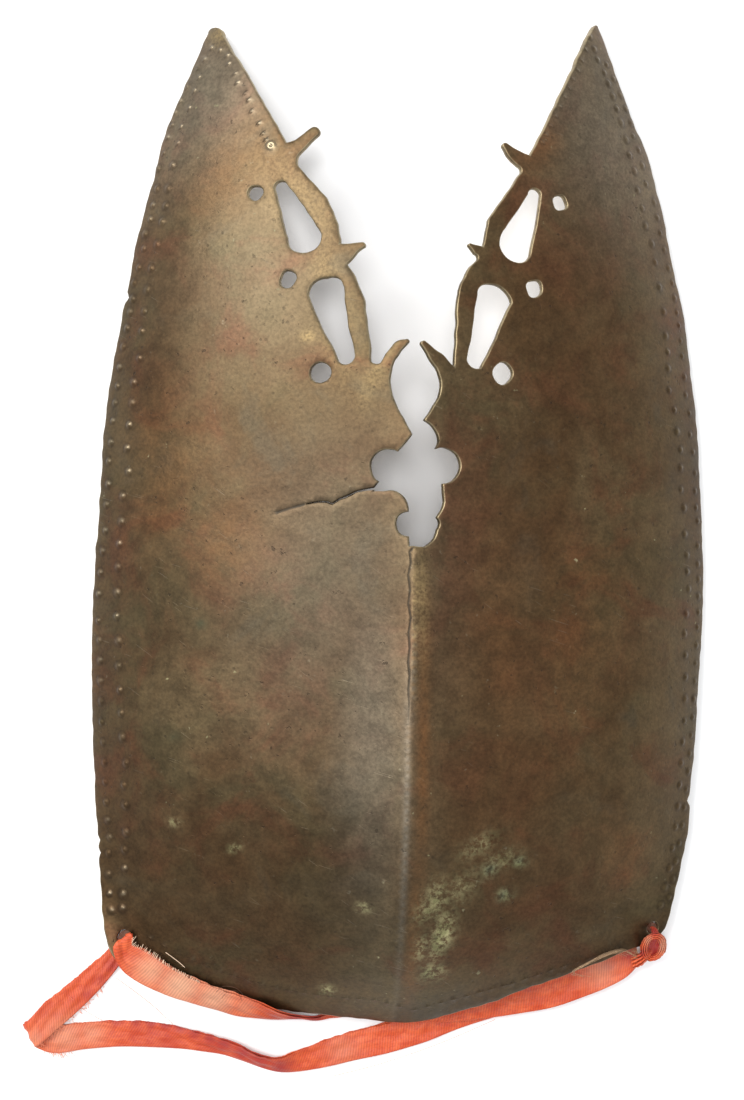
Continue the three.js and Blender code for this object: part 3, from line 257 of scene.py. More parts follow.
cut = INNER_LEFT.index("crack")
left_upper = arcs(INNER_LEFT[:cut], False)
left_lower = arcs(INNER_LEFT[cut + 1 :], False)
mid = np.array([c[:2] for c in CRACK_SIDE])
wide = np.array([c[2] for c in CRACK_SIDE])
tang = np.gradient(mid, axis=0)
tang /= np.linalg.norm(tang, axis=1, keepdims=True)
side_n = np.stack([tang[:, 1], -tang[:, 0]], -1)  # towards +y when the line runs to -x
crack_up = [tuple(p) for p in mid + side_n * wide[:, None]]
crack_down = [tuple(p) for p in (mid - side_n * wide[:, None])[::-1]]
inner_left = left_upper + crack_up + crack_down + left_lower
outline = (
    smooth_line(OUTER_LEFT, 0.7)[:-1]
    + smooth_line(LOWER, 0.7)[:-1]
    + smooth_line(OUTER_RIGHT[::-1], 0.7)
    + arcs(INNER_RIGHT, False)
    + inner_left[::-1][:-1]
)
outline = resample(outline, 0.75)
if area_of(outline) < 0:
    outline = outline[::-1]

loops = [outline]
for rows in TEARDROPS:
    p = resample(arcs(rows, True), 0.6)
    loops.append(p[::-1] if area_of(p) > 0 else p)
for hx, hy, dia in ROUND_HOLES:
    n = normal(np.array([hx]), np.array([hy]))[0]
    e1 = np.cross([0, 1, 0], n)
    e1 /= np.linalg.norm(e1)
    e2 = np.cross(n, e1)
    f = np.linspace(0, 2 * math.pi, 30, endpoint=False)
    wob = 1 + 0.03 * np.sin(2 * f + hx) + 0.02 * np.sin(3 * f + hy)
    ring = (np.cos(f)[:, None] * e1 + np.sin(f)[:, None] * e2)[:, :2] * (dia / 2) * wob[:, None] + [hx, hy]
    loops.append(ring[::-1] if area_of(ring) > 0 else ring)


def edge_normals(p):
    """The way into the material at each point of a loop, and how sharp the corner is."""
    d = np.roll(p, -1, 0) - p
    d /= np.linalg.norm(d, axis=1, keepdims=True) + 1e-12
    left = np.stack([-d[:, 1], d[:, 0]], -1)
    m = left + np.roll(left, 1, 0)
    ln = np.linalg.norm(m, axis=1, keepdims=True)
    m = np.where(ln > 1e-6, m / np.maximum(ln, 1e-6), left)
    cosine = np.clip(np.sum(m * left, axis=1), 0.35, 1)
    return m, cosine


def distance_to_loop(q, p, chunk=400):
    a, b = p, np.roll(p, -1, 0)
    ab = b - a
    ll = np.sum(ab * ab, 1) + 1e-12
    out = np.empty(len(q))
    for i in range(0, len(q), chunk):
        c = q[i : i + chunk, None, :] - a[None]
        t = np.clip(np.sum(c * ab[None], 2) / ll[None], 0, 1)
        out[i : i + chunk] = np.sqrt(np.min(np.sum((c - t[..., None] * ab[None]) ** 2, 2), 1))
    return out


# hand-cut edges: they waver a little, and a few nicks are filed into them
for li, p in enumerate(loops):
    m, _ = edge_normals(p)
    step = np.linalg.norm(np.roll(p, -1, 0) - p, axis=1)
    s = np.concatenate([[0], np.cumsum(step)[:-1]])
    total = step.sum()
    w = np.zeros(len(p))
    for k in range(18):
        turns = round(total / rng.uniform(4, 26)) if total > 40 else rng.integers(2, 5)
        w += rng.normal(0, 0.028) * np.sin(2 * math.pi * turns * s / total + rng.uniform(0, 6.28))
    if li == 0:
        near_crack = np.min(np.hypot(p[:, None, 0] - mid[None, :, 0], p[:, None, 1] - mid[None, :, 1]), 1)
        w *= np.clip((near_crack - 0.8) / 2, 0, 1)
        for nx, ny, deep, half in NICKS:
            d = np.hypot(p[:, 0] - nx, p[:, 1] - ny)
            j = np.argmin(d)
            w += deep * np.exp(-((np.hypot(p[:, 0] - p[j, 0], p[:, 1] - p[j, 1]) / half) ** 2))
    loops[li] = p + m * w[:, None]

ROUND = 0.34
insets = []
for p in loops:
    m, cosine = edge_normals(p)
    r = np.full(len(p), ROUND)
    want = None
    for _ in range(14):
        q = p + m * (r / cosine)[:, None]
        d = distance_to_loop(q, p)
        seg = np.roll(q, -1, 0) - q
        base = np.roll(p, -1, 0) - p
        back = np.sum(seg * base, 1) <= 0.05 * np.sum(base * base, 1)
        bad = (d < 0.86 * r) | back | np.roll(back, 1)
        if not bad.any():
            break
        r = np.where(bad, r * 0.72, r)
        r = np.minimum(r, np.minimum(np.roll(r, 1), np.roll(r, -1)) * 1.35)
    insets.append((p + m * (r / cosine)[:, None], p + m * (0.293 * r / cosine)[:, None], r))

# ------------------------------------------------------------------ punched marks
marks = []  # x, y, half length, half width, angle in plan, height


def add_mark(x, y, a, b, angle, h):
    marks.append((x, y, a, b, angle, h))


for rows, a, h in ((PUNCH_LEFT_INNER, 1.40, 0.50), (PUNCH_RIGHT_INNER, 1.25, 0.40), (PUNCH_LEFT_OUTER, 1.30, 0.44), (PUNCH_RIGHT_OUTER, 1.15, 0.34)):
    for x, y in rows:
        k = rng.uniform(0.85, 1.12)
        if x < 0 and y > 105.5:
            add_mark(x, y, 1.15, 0.5, math.radians(45 + rng.uniform(-8, 8)), 0.34)
        else:
            add_mark(x, y, a * k, a * k * rng.uniform(0.9, 1.05), rng.uniform(0, 3.1), h * rng.uniform(0.8, 1.15))
for x, y in HORN_LEFT_TOP + HORN_LEFT_GAP:
    add_mark(x, y, 1.05, 0.46, math.radians(42 + rng.uniform(-10, 10)), 0.3)
for x, y in HORN_RIGHT_GAP:
    add_mark(x, y, 1.0, 0.44, math.radians(-28 + rng.uniform(-10, 10)), 0.3)
low = np.array(LOWER_ROW)
low_t = np.gradient(low, axis=0)
for (x, y), (tx, ty) in zip(low, low_t):
    add_mark(x, y, 1.15 + rng.uniform(-0.2, 0.3), 0.34, math.atan2(ty, tx), 0.13)
marks = np.array(marks)
# strength of the painted highlight on each mark: weak on the lower row and on the right half
mark_painted_glint = np.where(np.arange(len(marks)) >= len(marks) - len(low), 0.16, 1.0) * np.clip(0.55 + 0.45 * np.sin(marks[:, 1] / 23 + 1.1) + rng.normal(0, 0.30, len(marks)), 0.05, 1) * np.where(marks[:, 0] < 0, 0.95, 0.30)
BOSS = (-37.3, 106.1, 1.55, 0.55)

n_mark = normal(marks[:, 0], marks[:, 1])
slope_dir = n_mark[:, :2] / (np.linalg.norm(n_mark[:, :2], axis=1, keepdims=True) + 1e-9)
flat = n_mark[:, 2]  # how much a length down the slope shrinks in plan


def mark_coords(q, i):
    """Position of plan points q in the i-th mark's own ellipse, 1 at its foot."""
    d = q - marks[i, :2]
    down = d @ slope_dir[i]
    across = d @ np.array([-slope_dir[i][1], slope_dir[i][0]])
    down = down / flat[i]
    real = down[:, None] * slope_dir[i] + across[:, None] * np.array([-slope_dir[i][1], slope_dir[i][0]])
    c, s = math.cos(marks[i, 4]), math.sin(marks[i, 4])
    return (real[:, 0] * c + real[:, 1] * s) / marks[i, 2], (-real[:, 0] * s + real[:, 1] * c) / marks[i, 3]


def mark_ring(i, radius, count):
    f = np.linspace(0, 2 * math.pi, count, endpoint=False) + radius
    u, v = np.cos(f) * radius * marks[i, 2], np.sin(f) * radius * marks[i, 3]
    c, s = math.cos(marks[i, 4]), math.sin(marks[i, 4])
    real = np.stack([u * c - v * s, u * s + v * c], -1)
    across_dir = np.array([-slope_dir[i][1], slope_dir[i][0]])
    down, across = real @ slope_dir[i] * flat[i], real @ across_dir
    return marks[i, :2] + down[:, None] * slope_dir[i] + across[:, None] * across_dir


dents = np.stack([rng.uniform(-85, 85, 330), rng.uniform(-130, 146, 330), rng.uniform(3.5, 13, 330)], -1)
dent_h = rng.normal(0, 0.011, 330) * dents[:, 2]
creases = np.stack([rng.uniform(-80, 80, 26), rng.uniform(-120, 140, 26), rng.uniform(8, 26, 26), rng.uniform(1.2, 2.4, 26), rng.uniform(0, 3.14, 26), rng.normal(0, 0.05, 26)], -1)


def segment_distance(q, line):
    line = np.asarray(line, float)
    best = np.full(len(q), 1e9)
    for a, b in zip(line[:-1], line[1:]):
        ab = b - a
        t = np.clip(((q - a) @ ab) / (ab @ ab), 0, 1)
        best = np.minimum(best, np.linalg.norm(q - a - t[:, None] * ab, axis=1))
    return best


def relief(q):
    """How far the sheet is driven out at plan points q, and the masks that go with it."""
    x, y = q[:, 0], q[:, 1]
    h = np.zeros(len(q))
    for (dx, dy, dr), amp in zip(dents, dent_h):
        near = np.abs(y - dy) < 2.6 * dr
        r2 = ((x[near] - dx) ** 2 + (y[near] - dy) ** 2) / (dr * dr)
        h[near] += amp * np.exp(-r2)
    for cx, cy, ca, cb, ang, amp in creases:
        u = ((x - cx) * math.cos(ang) + (y - cy) * math.sin(ang)) / ca
        v = (-(x - cx) * math.sin(ang) + (y - cy) * math.cos(ang)) / cb
        h += amp * np.exp(-u * u - v * v)
    h *= np.clip((y + 118) / 30, 0.25, 1)
    tops, dirt = np.zeros(len(q)), np.zeros(len(q))
    for i in range(len(marks)):
        reach = 1.9 * marks[i, 2]
        near = np.nonzero((np.abs(x - marks[i, 0]) < reach) & (np.abs(y - marks[i, 1]) < reach))[0]
        if not len(near):
            continue
        u, v = mark_coords(q[near], i)
        r = np.sqrt(u * u + v * v)
        bump = np.exp(-((r / 0.62) ** 2))
        h[near] += marks[i, 5] * bump
        # painted highlight set off towards the upper right of each crown, and a painted shade ring round each foot
        shift_x, shift_y = x[near] - marks[i, 0] - 0.28, y[near] - marks[i, 1] - 0.22
        tops[near] = np.maximum(tops[near], np.exp(-((np.hypot(shift_x, shift_y) / 0.42) ** 2)) * mark_painted_glint[i])
        dirt[near] = np.maximum(dirt[near], 0.75 * np.exp(-(((r - 0.95) / 0.3) ** 2)))
    r = np.hypot(x - BOSS[0], y - BOSS[1]) / BOSS[2]
    h += BOSS[3] * np.clip(1 - r * r, 0, 1) ** 1.1 - 0.55 * np.exp(-((r / 0.28) ** 2))
    # painted highlight on the boss's crown
    tops = np.maximum(tops, np.clip(1.3 - 1.1 * r, 0, 1))
    # the cracks are shallow grooves; their darkness is painted shade
    crack = 0.8 * np.exp(-((segment_distance(q, CRACK_RIDGE) / 0.15) ** 2)) * np.clip((y + 46) / 12, 0, 1)
    crack2 = 0.7 * np.exp(-((segment_distance(q, CRACK_TAIL) / 0.2) ** 2))
    h -= 0.3 * crack + 0.25 * crack2
    return h, tops, dirt, np.maximum(crack, crack2)


# ------------------------------------------------------------------ mesh of the plate
points = [ins[0] for ins in insets]
edges, start = [], 0
starts = []
for p in points:
    n = len(p)
    starts.append(start)
    edges += [(start + i, start + (i + 1) % n) for i in range(n)]
    start += n

cell = 1.3
gx, gy = np.meshgrid(np.arange(-85, 86, cell), np.arange(-130, 146, cell * 0.866))
gx = gx + (np.arange(gx.shape[0]) % 2 * cell / 2)[:, None]
grid = np.stack([gx.ravel(), gy.ravel()], -1)
grid += rng.normal(0, 0.04, grid.shape)


def inside_all(q, shapes, chunk=3000):
    """Even-odd test against all loops at once."""
    a = np.vstack(shapes)
    b = np.vstack([np.roll(s, -1, 0) for s in shapes])
    out = np.zeros(len(q), bool)
    dy = b[:, 1] - a[:, 1]
    dy = np.where(np.abs(dy) < 1e-12, 1e-12, dy)
    order = np.argsort(q[:, 1])
    for i in range(0, len(q), chunk):
        idx = order[i : i + chunk]
        lo, hi = q[idx[0], 1], q[idx[-1], 1]
        use = (np.minimum(a[:, 1], b[:, 1]) <= hi) & (np.maximum(a[:, 1], b[:, 1]) >= lo)
        aa, bb, dd = a[use], b[use], dy[use]
        py, px = q[idx, 1][:, None], q[idx, 0][:, None]
        cross = ((aa[:, 1] > py) != (bb[:, 1] > py)) & (px < (bb[:, 0] - aa[:, 0]) * (py - aa[:, 1]) / dd + aa[:, 0])
        out[idx] = cross.sum(1) % 2 == 1
    return out


grid = grid[inside_all(grid, points)]
extra = []
for i in range(len(marks)):
    small = marks[i, 3] < 0.7
    extra.append(marks[i, :2][None])
    for radius, count in ((0.4, 6), (0.75, 10), (1.05, 12), (1.4, 12)):
        extra.append(mark_ring(i, radius, count))
f = np.linspace(0, 2 * math.pi, 14, endpoint=False)
extra.append(np.array([[BOSS[0], BOSS[1]]]))
for radius in (0.25, 0.5, 0.9, 1.3, 1.65):
    extra.append(np.stack([BOSS[0] + radius * np.cos(f), BOSS[1] + radius * np.sin(f)], -1))
for line in (CRACK_RIDGE, CRACK_TAIL):
    fine = np.array(smooth_line(line, 0.45))
    t = np.gradient(fine, axis=0)
    t /= np.linalg.norm(t, axis=1, keepdims=True)
    nn = np.stack([-t[:, 1], t[:, 0]], -1)
    for off in (0, -0.17, 0.17, -0.5, 0.5):
        extra.append(fine + nn * off)
extra = np.vstack(extra)
extra = extra[inside_all(extra, points)]
# thin out: nothing closer than 0.16 mm to another extra point or 0.3 mm to a border
rim_points = np.vstack(points)


def thin(q, against, least, chunk=1500):
    keep = np.ones(len(q), bool)
    for i in range(0, len(q), chunk):
        part = q[i : i + chunk]
        lo, hi = part.min(0) - least, part.max(0) + least
        use = against[np.all((against > lo) & (against < hi), 1)]
        if len(use):
            d2 = ((part[:, None] - use[None]) ** 2).sum(2)
            keep[i : i + chunk] = d2.min(1) > least * least
    return keep


order = np.lexsort((extra[:, 0], np.round(extra[:, 1] / 4)))
extra = extra[order]
extra = extra[thin(extra, rim_points, 0.28)]
taken = {}
kept = []
for p in extra:
    key = (round(p[0] / 0.16), round(p[1] / 0.16))
    if key in taken:
        continue
    taken[key] = True
    kept.append(p)
extra = np.array(kept)
grid = grid[thin(grid, rim_points, 0.6)]
grid = grid[thin(grid, extra, 0.62)]
every = np.vstack([rim_points, extra, grid])
verts2, _, faces2, orig, _, _ = delaunay_2d_cdt([Vector((float(p[0]), float(p[1]))) for p in every], edges, [], 0, 1e-5, True)
flatp = np.array([(v.x, v.y) for v in verts2])
tri = np.array([f for f in faces2 if len(f) == 3])
for o, src in enumerate(orig):
    for s in src:
        flatp[o] = every[s]
centre = flatp[tri].mean(1)
tri = tri[inside_all(centre, points)]
a, b, c = flatp[tri[:, 0]], flatp[tri[:, 1]], flatp[tri[:, 2]]
turn = (b[:, 0] - a[:, 0]) * (c[:, 1] - a[:, 1]) - (b[:, 1] - a[:, 1]) * (c[:, 0] - a[:, 0])
tri = np.where((turn < 0)[:, None], tri[:, ::-1], tri)
where_is = {}
for o, src in enumerate(orig):
    for s in src:
        where_is[s] = o

h_flat, painted_glint_flat, mark_foot_shade_flat, crack_flat = relief(flatp)
nf = len(flatp)
cos_parts = [place(flatp, h_flat), place(flatp, h_flat - THICK)]
attr = {
    "edge": [np.zeros(nf), np.zeros(nf)],
    "tops": [painted_glint_flat, np.zeros(nf)],
    "dirt": [mark_foot_shade_flat, np.zeros(nf)],
    "crack": [crack_flat, np.zeros(nf)],
    "inner": [np.zeros(nf), np.ones(nf)],
}
plan_all = [flatp, flatp]
faces = [tuple(t) for t in tri] + [(t[0] + nf, t[2] + nf, t[1] + nf) for t in tri]
base = 2 * nf
for li, (p, (q, q1, r)) in enumerate(zip(loops, insets)):
    n = len(p)
    h_edge, _, _, _ = relief(q)
    ring_top = np.array([where_is[starts[li] + i] for i in range(n)])
    ring_bottom = ring_top + nf
    rings = []
    for xy, depth in ((q1, 0.293 * r), (p, r), (p, THICK - r), (q1, THICK - 0.293 * r)):
        cos_parts.append(place(xy, h_edge - depth))
        plan_all.append(xy)
        for name in attr:
            attr[name].append(np.ones(n) if name == "edge" else np.zeros(n))
        rings.append(base + np.arange(n))
        base += n
    chain = [ring_top, *rings, ring_bottom]
    for upper, lower in zip(chain[:-1], chain[1:]):
        for i in range(n):
            j = (i + 1) % n
            faces.append((int(upper[i]), int(lower[i]), int(lower[j]), int(upper[j])))
co = (np.vstack(cos_parts) + SHIFT) * MM
plan_all = np.vstack(plan_all)


def patch(table):
    out = np.zeros(len(plan_all))
    for x, y, a, b, ang, k in table:
        c, s = math.cos(math.radians(ang)), math.sin(math.radians(ang))
        dx, dy = plan_all[:, 0] - x, plan_all[:, 1] - y
        out = np.maximum(out, k * np.exp(-0.7 * (((dx * c + dy * s) / a) ** 2 + ((-dx * s + dy * c) / b) ** 2)))
    return out


def add_mesh(name, co, faces, material, smooth=True):
    me = bpy.data.meshes.new(name)
    me.from_pydata([tuple(map(float, v)) for v in co], [], faces)
    me.polygons.foreach_set("use_smooth", [smooth] * len(me.polygons))
    me.update()
    me.materials.append(material)
    ob = bpy.data.objects.new(name, me)
    scene.collection.objects.link(ob)
    return ob


def add_values(me, name, values):
    at = me.attributes.new(name, "FLOAT", "POINT")
    at.data.foreach_set("value", np.asarray(values, np.float32))


# ------------------------------------------------------------------ materials
class Graph:
    def __init__(self, name):
        self.mat = bpy.data.materials.new(name)
        self.mat.use_nodes = True
        self.nt = self.mat.node_tree
        self.nt.nodes.clear()
        self.out = self.nt.nodes.new("ShaderNodeOutputMaterial")

    def put(self, socket, value):
        if isinstance(value, bpy.types.NodeSocket):
            self.nt.links.new(value, socket)
        elif hasattr(socket.default_value, "__len__") and hasattr(value, "__len__"):
            v = list(value)
            socket.default_value = v + [1.0] * (len(socket.default_value) - len(v))
        else:
            socket.default_value = value

    def node(self, kind, ins=None, **props):
        n = self.nt.nodes.new(kind)
        for k, v in props.items():
            setattr(n, k, v)
        for k, v in (ins or {}).items():
            self.put(n.inputs[k], v)
        return n

    def attr(self, name):
        return self.node("ShaderNodeAttribute", attribute_name=name).outputs["Fac"]

    def math(self, op, a, b=0.0, clamp=False):
        return self.node("ShaderNodeMath", {0: a, 1: b}, operation=op, use_clamp=clamp).outputs[0]

    def ramp(self, value, lo, hi, out_lo=0.0, out_hi=1.0):
        n = self.node("ShaderNodeMapRange", {"Value": value, "From Min": lo, "From Max": hi, "To Min": out_lo, "To Max": out_hi})
        n.interpolation_type = "SMOOTHSTEP"
        return n.outputs["Result"]

    def mix(self, fac, a, b):
        n = self.node("ShaderNodeMix", data_type="RGBA", blend_type="MIX")
        self.put(n.inputs[0], fac)
        self.put(n.inputs[6], a)
        self.put(n.inputs[7], b)
        return n.outputs[2]

    def scale_colour(self, colour, value):
        n = self.node("ShaderNodeMix", data_type="RGBA", blend_type="MULTIPLY")
        n.inputs[0].default_value = 1.0
        self.put(n.inputs[6], colour)
        self.put(n.inputs[7], self.node("ShaderNodeCombineColor", {0: value, 1: value, 2: value}).outputs[0])
        return n.outputs[2]

    def noise(self, vector, scale, detail=4.0, rough=0.55, distortion=0.0):
        n = self.node("ShaderNodeTexNoise", {"Vector": vector, "Scale": scale, "Detail": detail, "Roughness": rough, "Distortion": distortion})
        return n.outputs["Fac"]

    def bump(self, height_value, distance, strength=1.0, below=None):
        ins = {"Height": height_value, "Distance": distance, "Strength": strength}
        if below is not None:
            ins["Normal"] = below
        return self.node("ShaderNodeBump", ins).outputs["Normal"]


def patinated_alloy():
    g = Graph("patinated_copper_alloy")
    pos = g.node("ShaderNodeTexCoord").outputs["Object"]

    def moved(x, y):
        return g.node("ShaderNodeMapping", {"Vector": pos, "Location": (x, y, 0.2)}).outputs[0]

    big = g.noise(pos, 30.0, 4.0, 0.55, 0.5)
    big2 = g.noise(moved(0.37, 0.11), 38.0, 5.0, 0.58, 0.4)
    big3 = g.noise(moved(0.71, 0.53), 46.0, 5.0, 0.6, 0.6)
    mid_n = g.noise(pos, 190.0, 7.0, 0.66, 0.2)
    fine = g.noise(pos, 1100.0, 4.0, 0.65)
    spots = g.noise(moved(0.9, 0.4), 430.0, 3.0, 0.6)
    brown, pale = (0.088, 0.048, 0.019), (0.122, 0.082, 0.038)
    colour = g.mix(g.ramp(big, 0.34, 0.68), brown, pale)
    colour = g.mix(g.ramp(big2, 0.46, 0.68, 0.0, 0.60), colour, (0.090, 0.071, 0.032))
    colour = g.mix(g.ramp(big3, 0.48, 0.70, 0.0, 0.75), colour, (0.124, 0.050, 0.022))
    colour = g.mix(g.ramp(big3, 0.44, 0.28, 0.0, 0.5), colour, (0.086, 0.070, 0.042))
    # painted sheen: highlight along the ridge's left shoulder, pale reflection on the left half and the horns
    colour = g.mix(g.attr("grey"), colour, (0.185, 0.163, 0.125))
    colour = g.mix(g.attr("warm"), colour, (0.104, 0.050, 0.021))
    orange = g.math("MULTIPLY", g.attr("orange"), g.ramp(mid_n, 0.25, 0.65, 0.45, 1.0))
    colour = g.mix(g.math("MULTIPLY", orange, 0.74), colour, (0.185, 0.078, 0.026))
    brass = g.math("MULTIPLY", g.attr("brass"), g.ramp(fine, 0.32, 0.60, 0.35, 1.0))
    colour = g.mix(g.math("MULTIPLY", brass, 0.7), colour, (0.33, 0.235, 0.105))
    colour = g.scale_colour(colour, g.ramp(mid_n, 0.28, 0.72, 0.80, 1.18))
    colour = g.scale_colour(colour, g.ramp(fine, 0.28, 0.72, 0.80, 1.18))
    # small pale specks, soft dark pits
    speck = g.math("MULTIPLY", g.ramp(spots, 0.67, 0.74), g.ramp(big2, 0.45, 0.6, 0.2, 1.0))
    colour = g.mix(g.math("MULTIPLY", speck, 0.4), colour, (0.26, 0.22, 0.15))
    cells = g.node("ShaderNodeTexVoronoi", {"Vector": pos, "Scale": 300.0, "Randomness": 1.0}).outputs["Distance"]
    pit = g.math("MULTIPLY", g.ramp(cells, 0.17, 0.06), g.ramp(big, 0.50, 0.58))
    small = g.math("MULTIPLY", g.ramp(g.noise(moved(0.2, 0.8), 620.0, 2.0, 0.5), 0.685, 0.73), g.ramp(big3, 0.42, 0.56, 0.25, 1.0))
    pit = g.math("MAXIMUM", g.math("MULTIPLY", pit, 0.32), g.math("MULTIPLY", small, 0.5))
    colour = g.mix(pit, colour, (0.020, 0.015, 0.010))
    # a few short fine scratches, two ways
    scratch = None
    for k, turn_z in enumerate((0.62, 0.28)):
        m = g.node("ShaderNodeMapping", {"Vector": pos, "Rotation": (0.0, 0.0, turn_z), "Location": (0.13 * k, 0.07 * k, 0)})
        m = g.node("ShaderNodeMapping", {"Vector": m.outputs[0], "Scale": (110.0, 2300.0, 110.0)})
        line = g.ramp(g.noise(m.outputs[0], 1.0, 1.0, 0.4), 0.745, 0.79)
        scratch = line if scratch is None else g.math("MAXIMUM", scratch, line)
    scratch = g.math("MULTIPLY", scratch, g.ramp(big2, 0.44, 0.60))
    colour = g.mix(g.math("MULTIPLY", scratch, 0.22), colour, (0.30, 0.25, 0.18))
    # painted shade in a ring round the foot of each punched mark, and a painted highlight on their crowns
    colour = g.mix(g.math("MULTIPLY", g.attr("dirt"), 0.55), colour, (0.030, 0.018, 0.010))
    colour = g.mix(g.math("MULTIPLY", g.attr("tops"), 0.6), colour, (0.46, 0.39, 0.27))
    # painted shade: darker right half, left face, rim, foot and rolled lower edge
    colour = g.mix(g.attr("shade"), colour, g.scale_colour(colour, 0.42))
    # verdigris
    green = g.math("MULTIPLY", g.attr("verdigris"), g.ramp(g.noise(pos, 560.0, 6.0, 0.75), 0.40, 0.60, 0.0, 1.3), clamp=True)
    stray = g.math("MULTIPLY", g.ramp(spots, 0.70, 0.76), g.ramp(big, 0.52, 0.60))
    green = g.math("MAXIMUM", green, g.math("MULTIPLY", stray, 0.6))
    green_c = g.mix(g.ramp(mid_n, 0.35, 0.65), (0.15, 0.150, 0.050), (0.38, 0.355, 0.17))
    colour = g.mix(g.math("MULTIPLY", green, 0.85), colour, green_c)
    dark_green = g.math("MULTIPLY", g.attr("dark_green"), g.ramp(mid_n, 0.35, 0.6, 0.3, 1.0))
    colour = g.mix(g.math("MULTIPLY", dark_green, 0.8), colour, (0.030, 0.050, 0.030))
    # worn edges, and painted shade in the cracks
    wear = g.math("MULTIPLY", g.attr("edge"), g.ramp(mid_n, 0.35, 0.6, 0.35, 0.95))
    colour = g.mix(wear, colour, (0.34, 0.275, 0.165))
    crack = g.attr("crack")
    colour = g.mix(crack, colour, (0.020, 0.015, 0.006))
    inner = g.attr("inner")
    colour = g.mix(g.math("MULTIPLY", inner, 0.9), colour, (0.46, 0.38, 0.29))
    rough = g.math("ADD", g.ramp(mid_n, 0.3, 0.7, 0.38, 0.50), g.math("MULTIPLY", g.math("MAXIMUM", green, crack), 0.35), clamp=True)
    rough = g.math("SUBTRACT", rough, g.math("MULTIPLY", g.attr("tops"), 0.14), clamp=True)
    metal = g.math("SUBTRACT", 0.88, g.math("MULTIPLY", g.math("MAXIMUM", g.math("MAXIMUM", green, crack), inner), 0.88), clamp=True)
    normal_v = g.bump(big2, 0.0010, 0.35)
    normal_v = g.bump(mid_n, 0.00010, 0.6, normal_v)
    normal_v = g.bump(fine, 0.00002, 0.6, normal_v)
    normal_v = g.bump(g.math("SUBTRACT", 1.0, pit), 0.00012, 0.8, normal_v)
    normal_v = g.bump(g.math("SUBTRACT", 1.0, scratch), 0.00003, 0.8, normal_v)
    b = g.node("ShaderNodeBsdfPrincipled", {"Base Color": colour, "Roughness": rough, "Metallic": metal, "Normal": normal_v})
    b.inputs["Coat Weight"].default_value = 0.05
    b.inputs["Coat Roughness"].default_value = 0.42
    g.nt.links.new(b.outputs[0], g.out.inputs[0])
    return g.mat


def coral_satin(name="coral_satin_ribbon"):
    g = Graph(name)
    pos = g.node("ShaderNodeTexCoord").outputs["Object"]
    uv = g.node("ShaderNodeUVMap", uv_map="cloth").outputs[0]
    xyz = g.node("ShaderNodeSeparateXYZ", {0: uv})
    along, across = xyz.outputs[0], xyz.outputs[1]
    # satin: floats that step aside from pick to pick, so fine ribs run on a slant
    ribs = g.math("ADD", g.math("MULTIPLY", along, 2 * math.pi / 0.74), g.math("ADD", g.math("MULTIPLY", across, 2 * math.pi / 1.7), g.math("MULTIPLY", g.noise(pos, 170.0, 4.0, 0.6), 7.0)))
    rib = g.ramp(g.math("SINE", ribs, 0.0), -1.0, 1.0)
    picks = g.ramp(g.math("SINE", g.math("MULTIPLY", across, 2 * math.pi / 0.30), 0.0), -1.0, 1.0)
    slub = g.noise(g.node("ShaderNodeMapping", {"Vector": uv, "Scale": (0.5, 1.1, 1.0)}).outputs[0], 1.0, 3.0, 0.6)
    cloud = g.noise(pos, 160.0, 4.0, 0.6)
    colour = g.mix(g.ramp(cloud, 0.36, 0.64), (0.52, 0.060, 0.012), (0.63, 0.104, 0.030))
    colour = g.mix(g.ramp(slub, 0.40, 0.70, 0.0, 0.6), colour, (0.42, 0.036, 0.012))
    colour = g.scale_colour(colour, g.ramp(rib, 0.0, 1.0, 0.87, 1.08))
    # painted shade (deep) where the cloth runs under the plate's rim, in its twists and in the knot; painted satin
    # sheen (pale) where it faces the light
    colour = g.mix(g.math("MULTIPLY", g.attr("deep"), 0.85), colour, (0.26, 0.014, 0.020))
    colour = g.mix(g.math("MULTIPLY", g.attr("pale"), 0.9), colour, g.scale_colour((0.62, 0.36, 0.225, 1.0), g.ramp(rib, 0.0, 1.0, 0.84, 1.10)))
    normal_v = g.bump(cloud, 0.0004, 0.6)
    normal_v = g.bump(slub, 0.00025, 0.6, normal_v)
    normal_v = g.bump(rib, 0.00007, 0.45, normal_v)
    normal_v = g.bump(picks, 0.00003, 0.5, normal_v)
    b = g.node("ShaderNodeBsdfPrincipled", {"Base Color": colour, "Roughness": 0.46, "Metallic": 0.0, "Normal": normal_v})
    b.inputs["Sheen Weight"].default_value = 0.08
    b.inputs["Specular IOR Level"].default_value = 0.35
    b.inputs["Sheen Roughness"].default_value = 0.4
    b.inputs["Sheen Tint"].default_value = (1.0, 0.72, 0.58, 1.0)
    b.inputs["Subsurface Weight"].default_value = 0.0
    g.nt.links.new(b.outputs[0], g.out.inputs[0])
    return g.mat


def plain(name, colour, rough):
    g = Graph(name)
    n = g.noise(g.node("ShaderNodeTexCoord").outputs["Object"], 900.0, 2.0, 0.5)
    b = g.node("ShaderNodeBsdfPrincipled", {"Base Color": g.scale_colour(colour, g.ramp(n, 0.3, 0.7, 0.85, 1.1)), "Roughness": rough})
    g.nt.links.new(b.outputs[0], g.out.inputs[0])
    return g.mat


alloy = patinated_alloy()
satin = coral_satin()
thread_coral = plain("thread_coral", (0.82, 0.25, 0.13, 1.0), 0.6)
thread_cream = plain("thread_cream", (0.86, 0.62, 0.44, 1.0), 0.65)
thread_tan = plain("thread_tan", (0.46, 0.30, 0.17, 1.0), 0.6)
thread_dark = plain("thread_dark", (0.105, 0.040, 0.020, 1.0), 0.7)

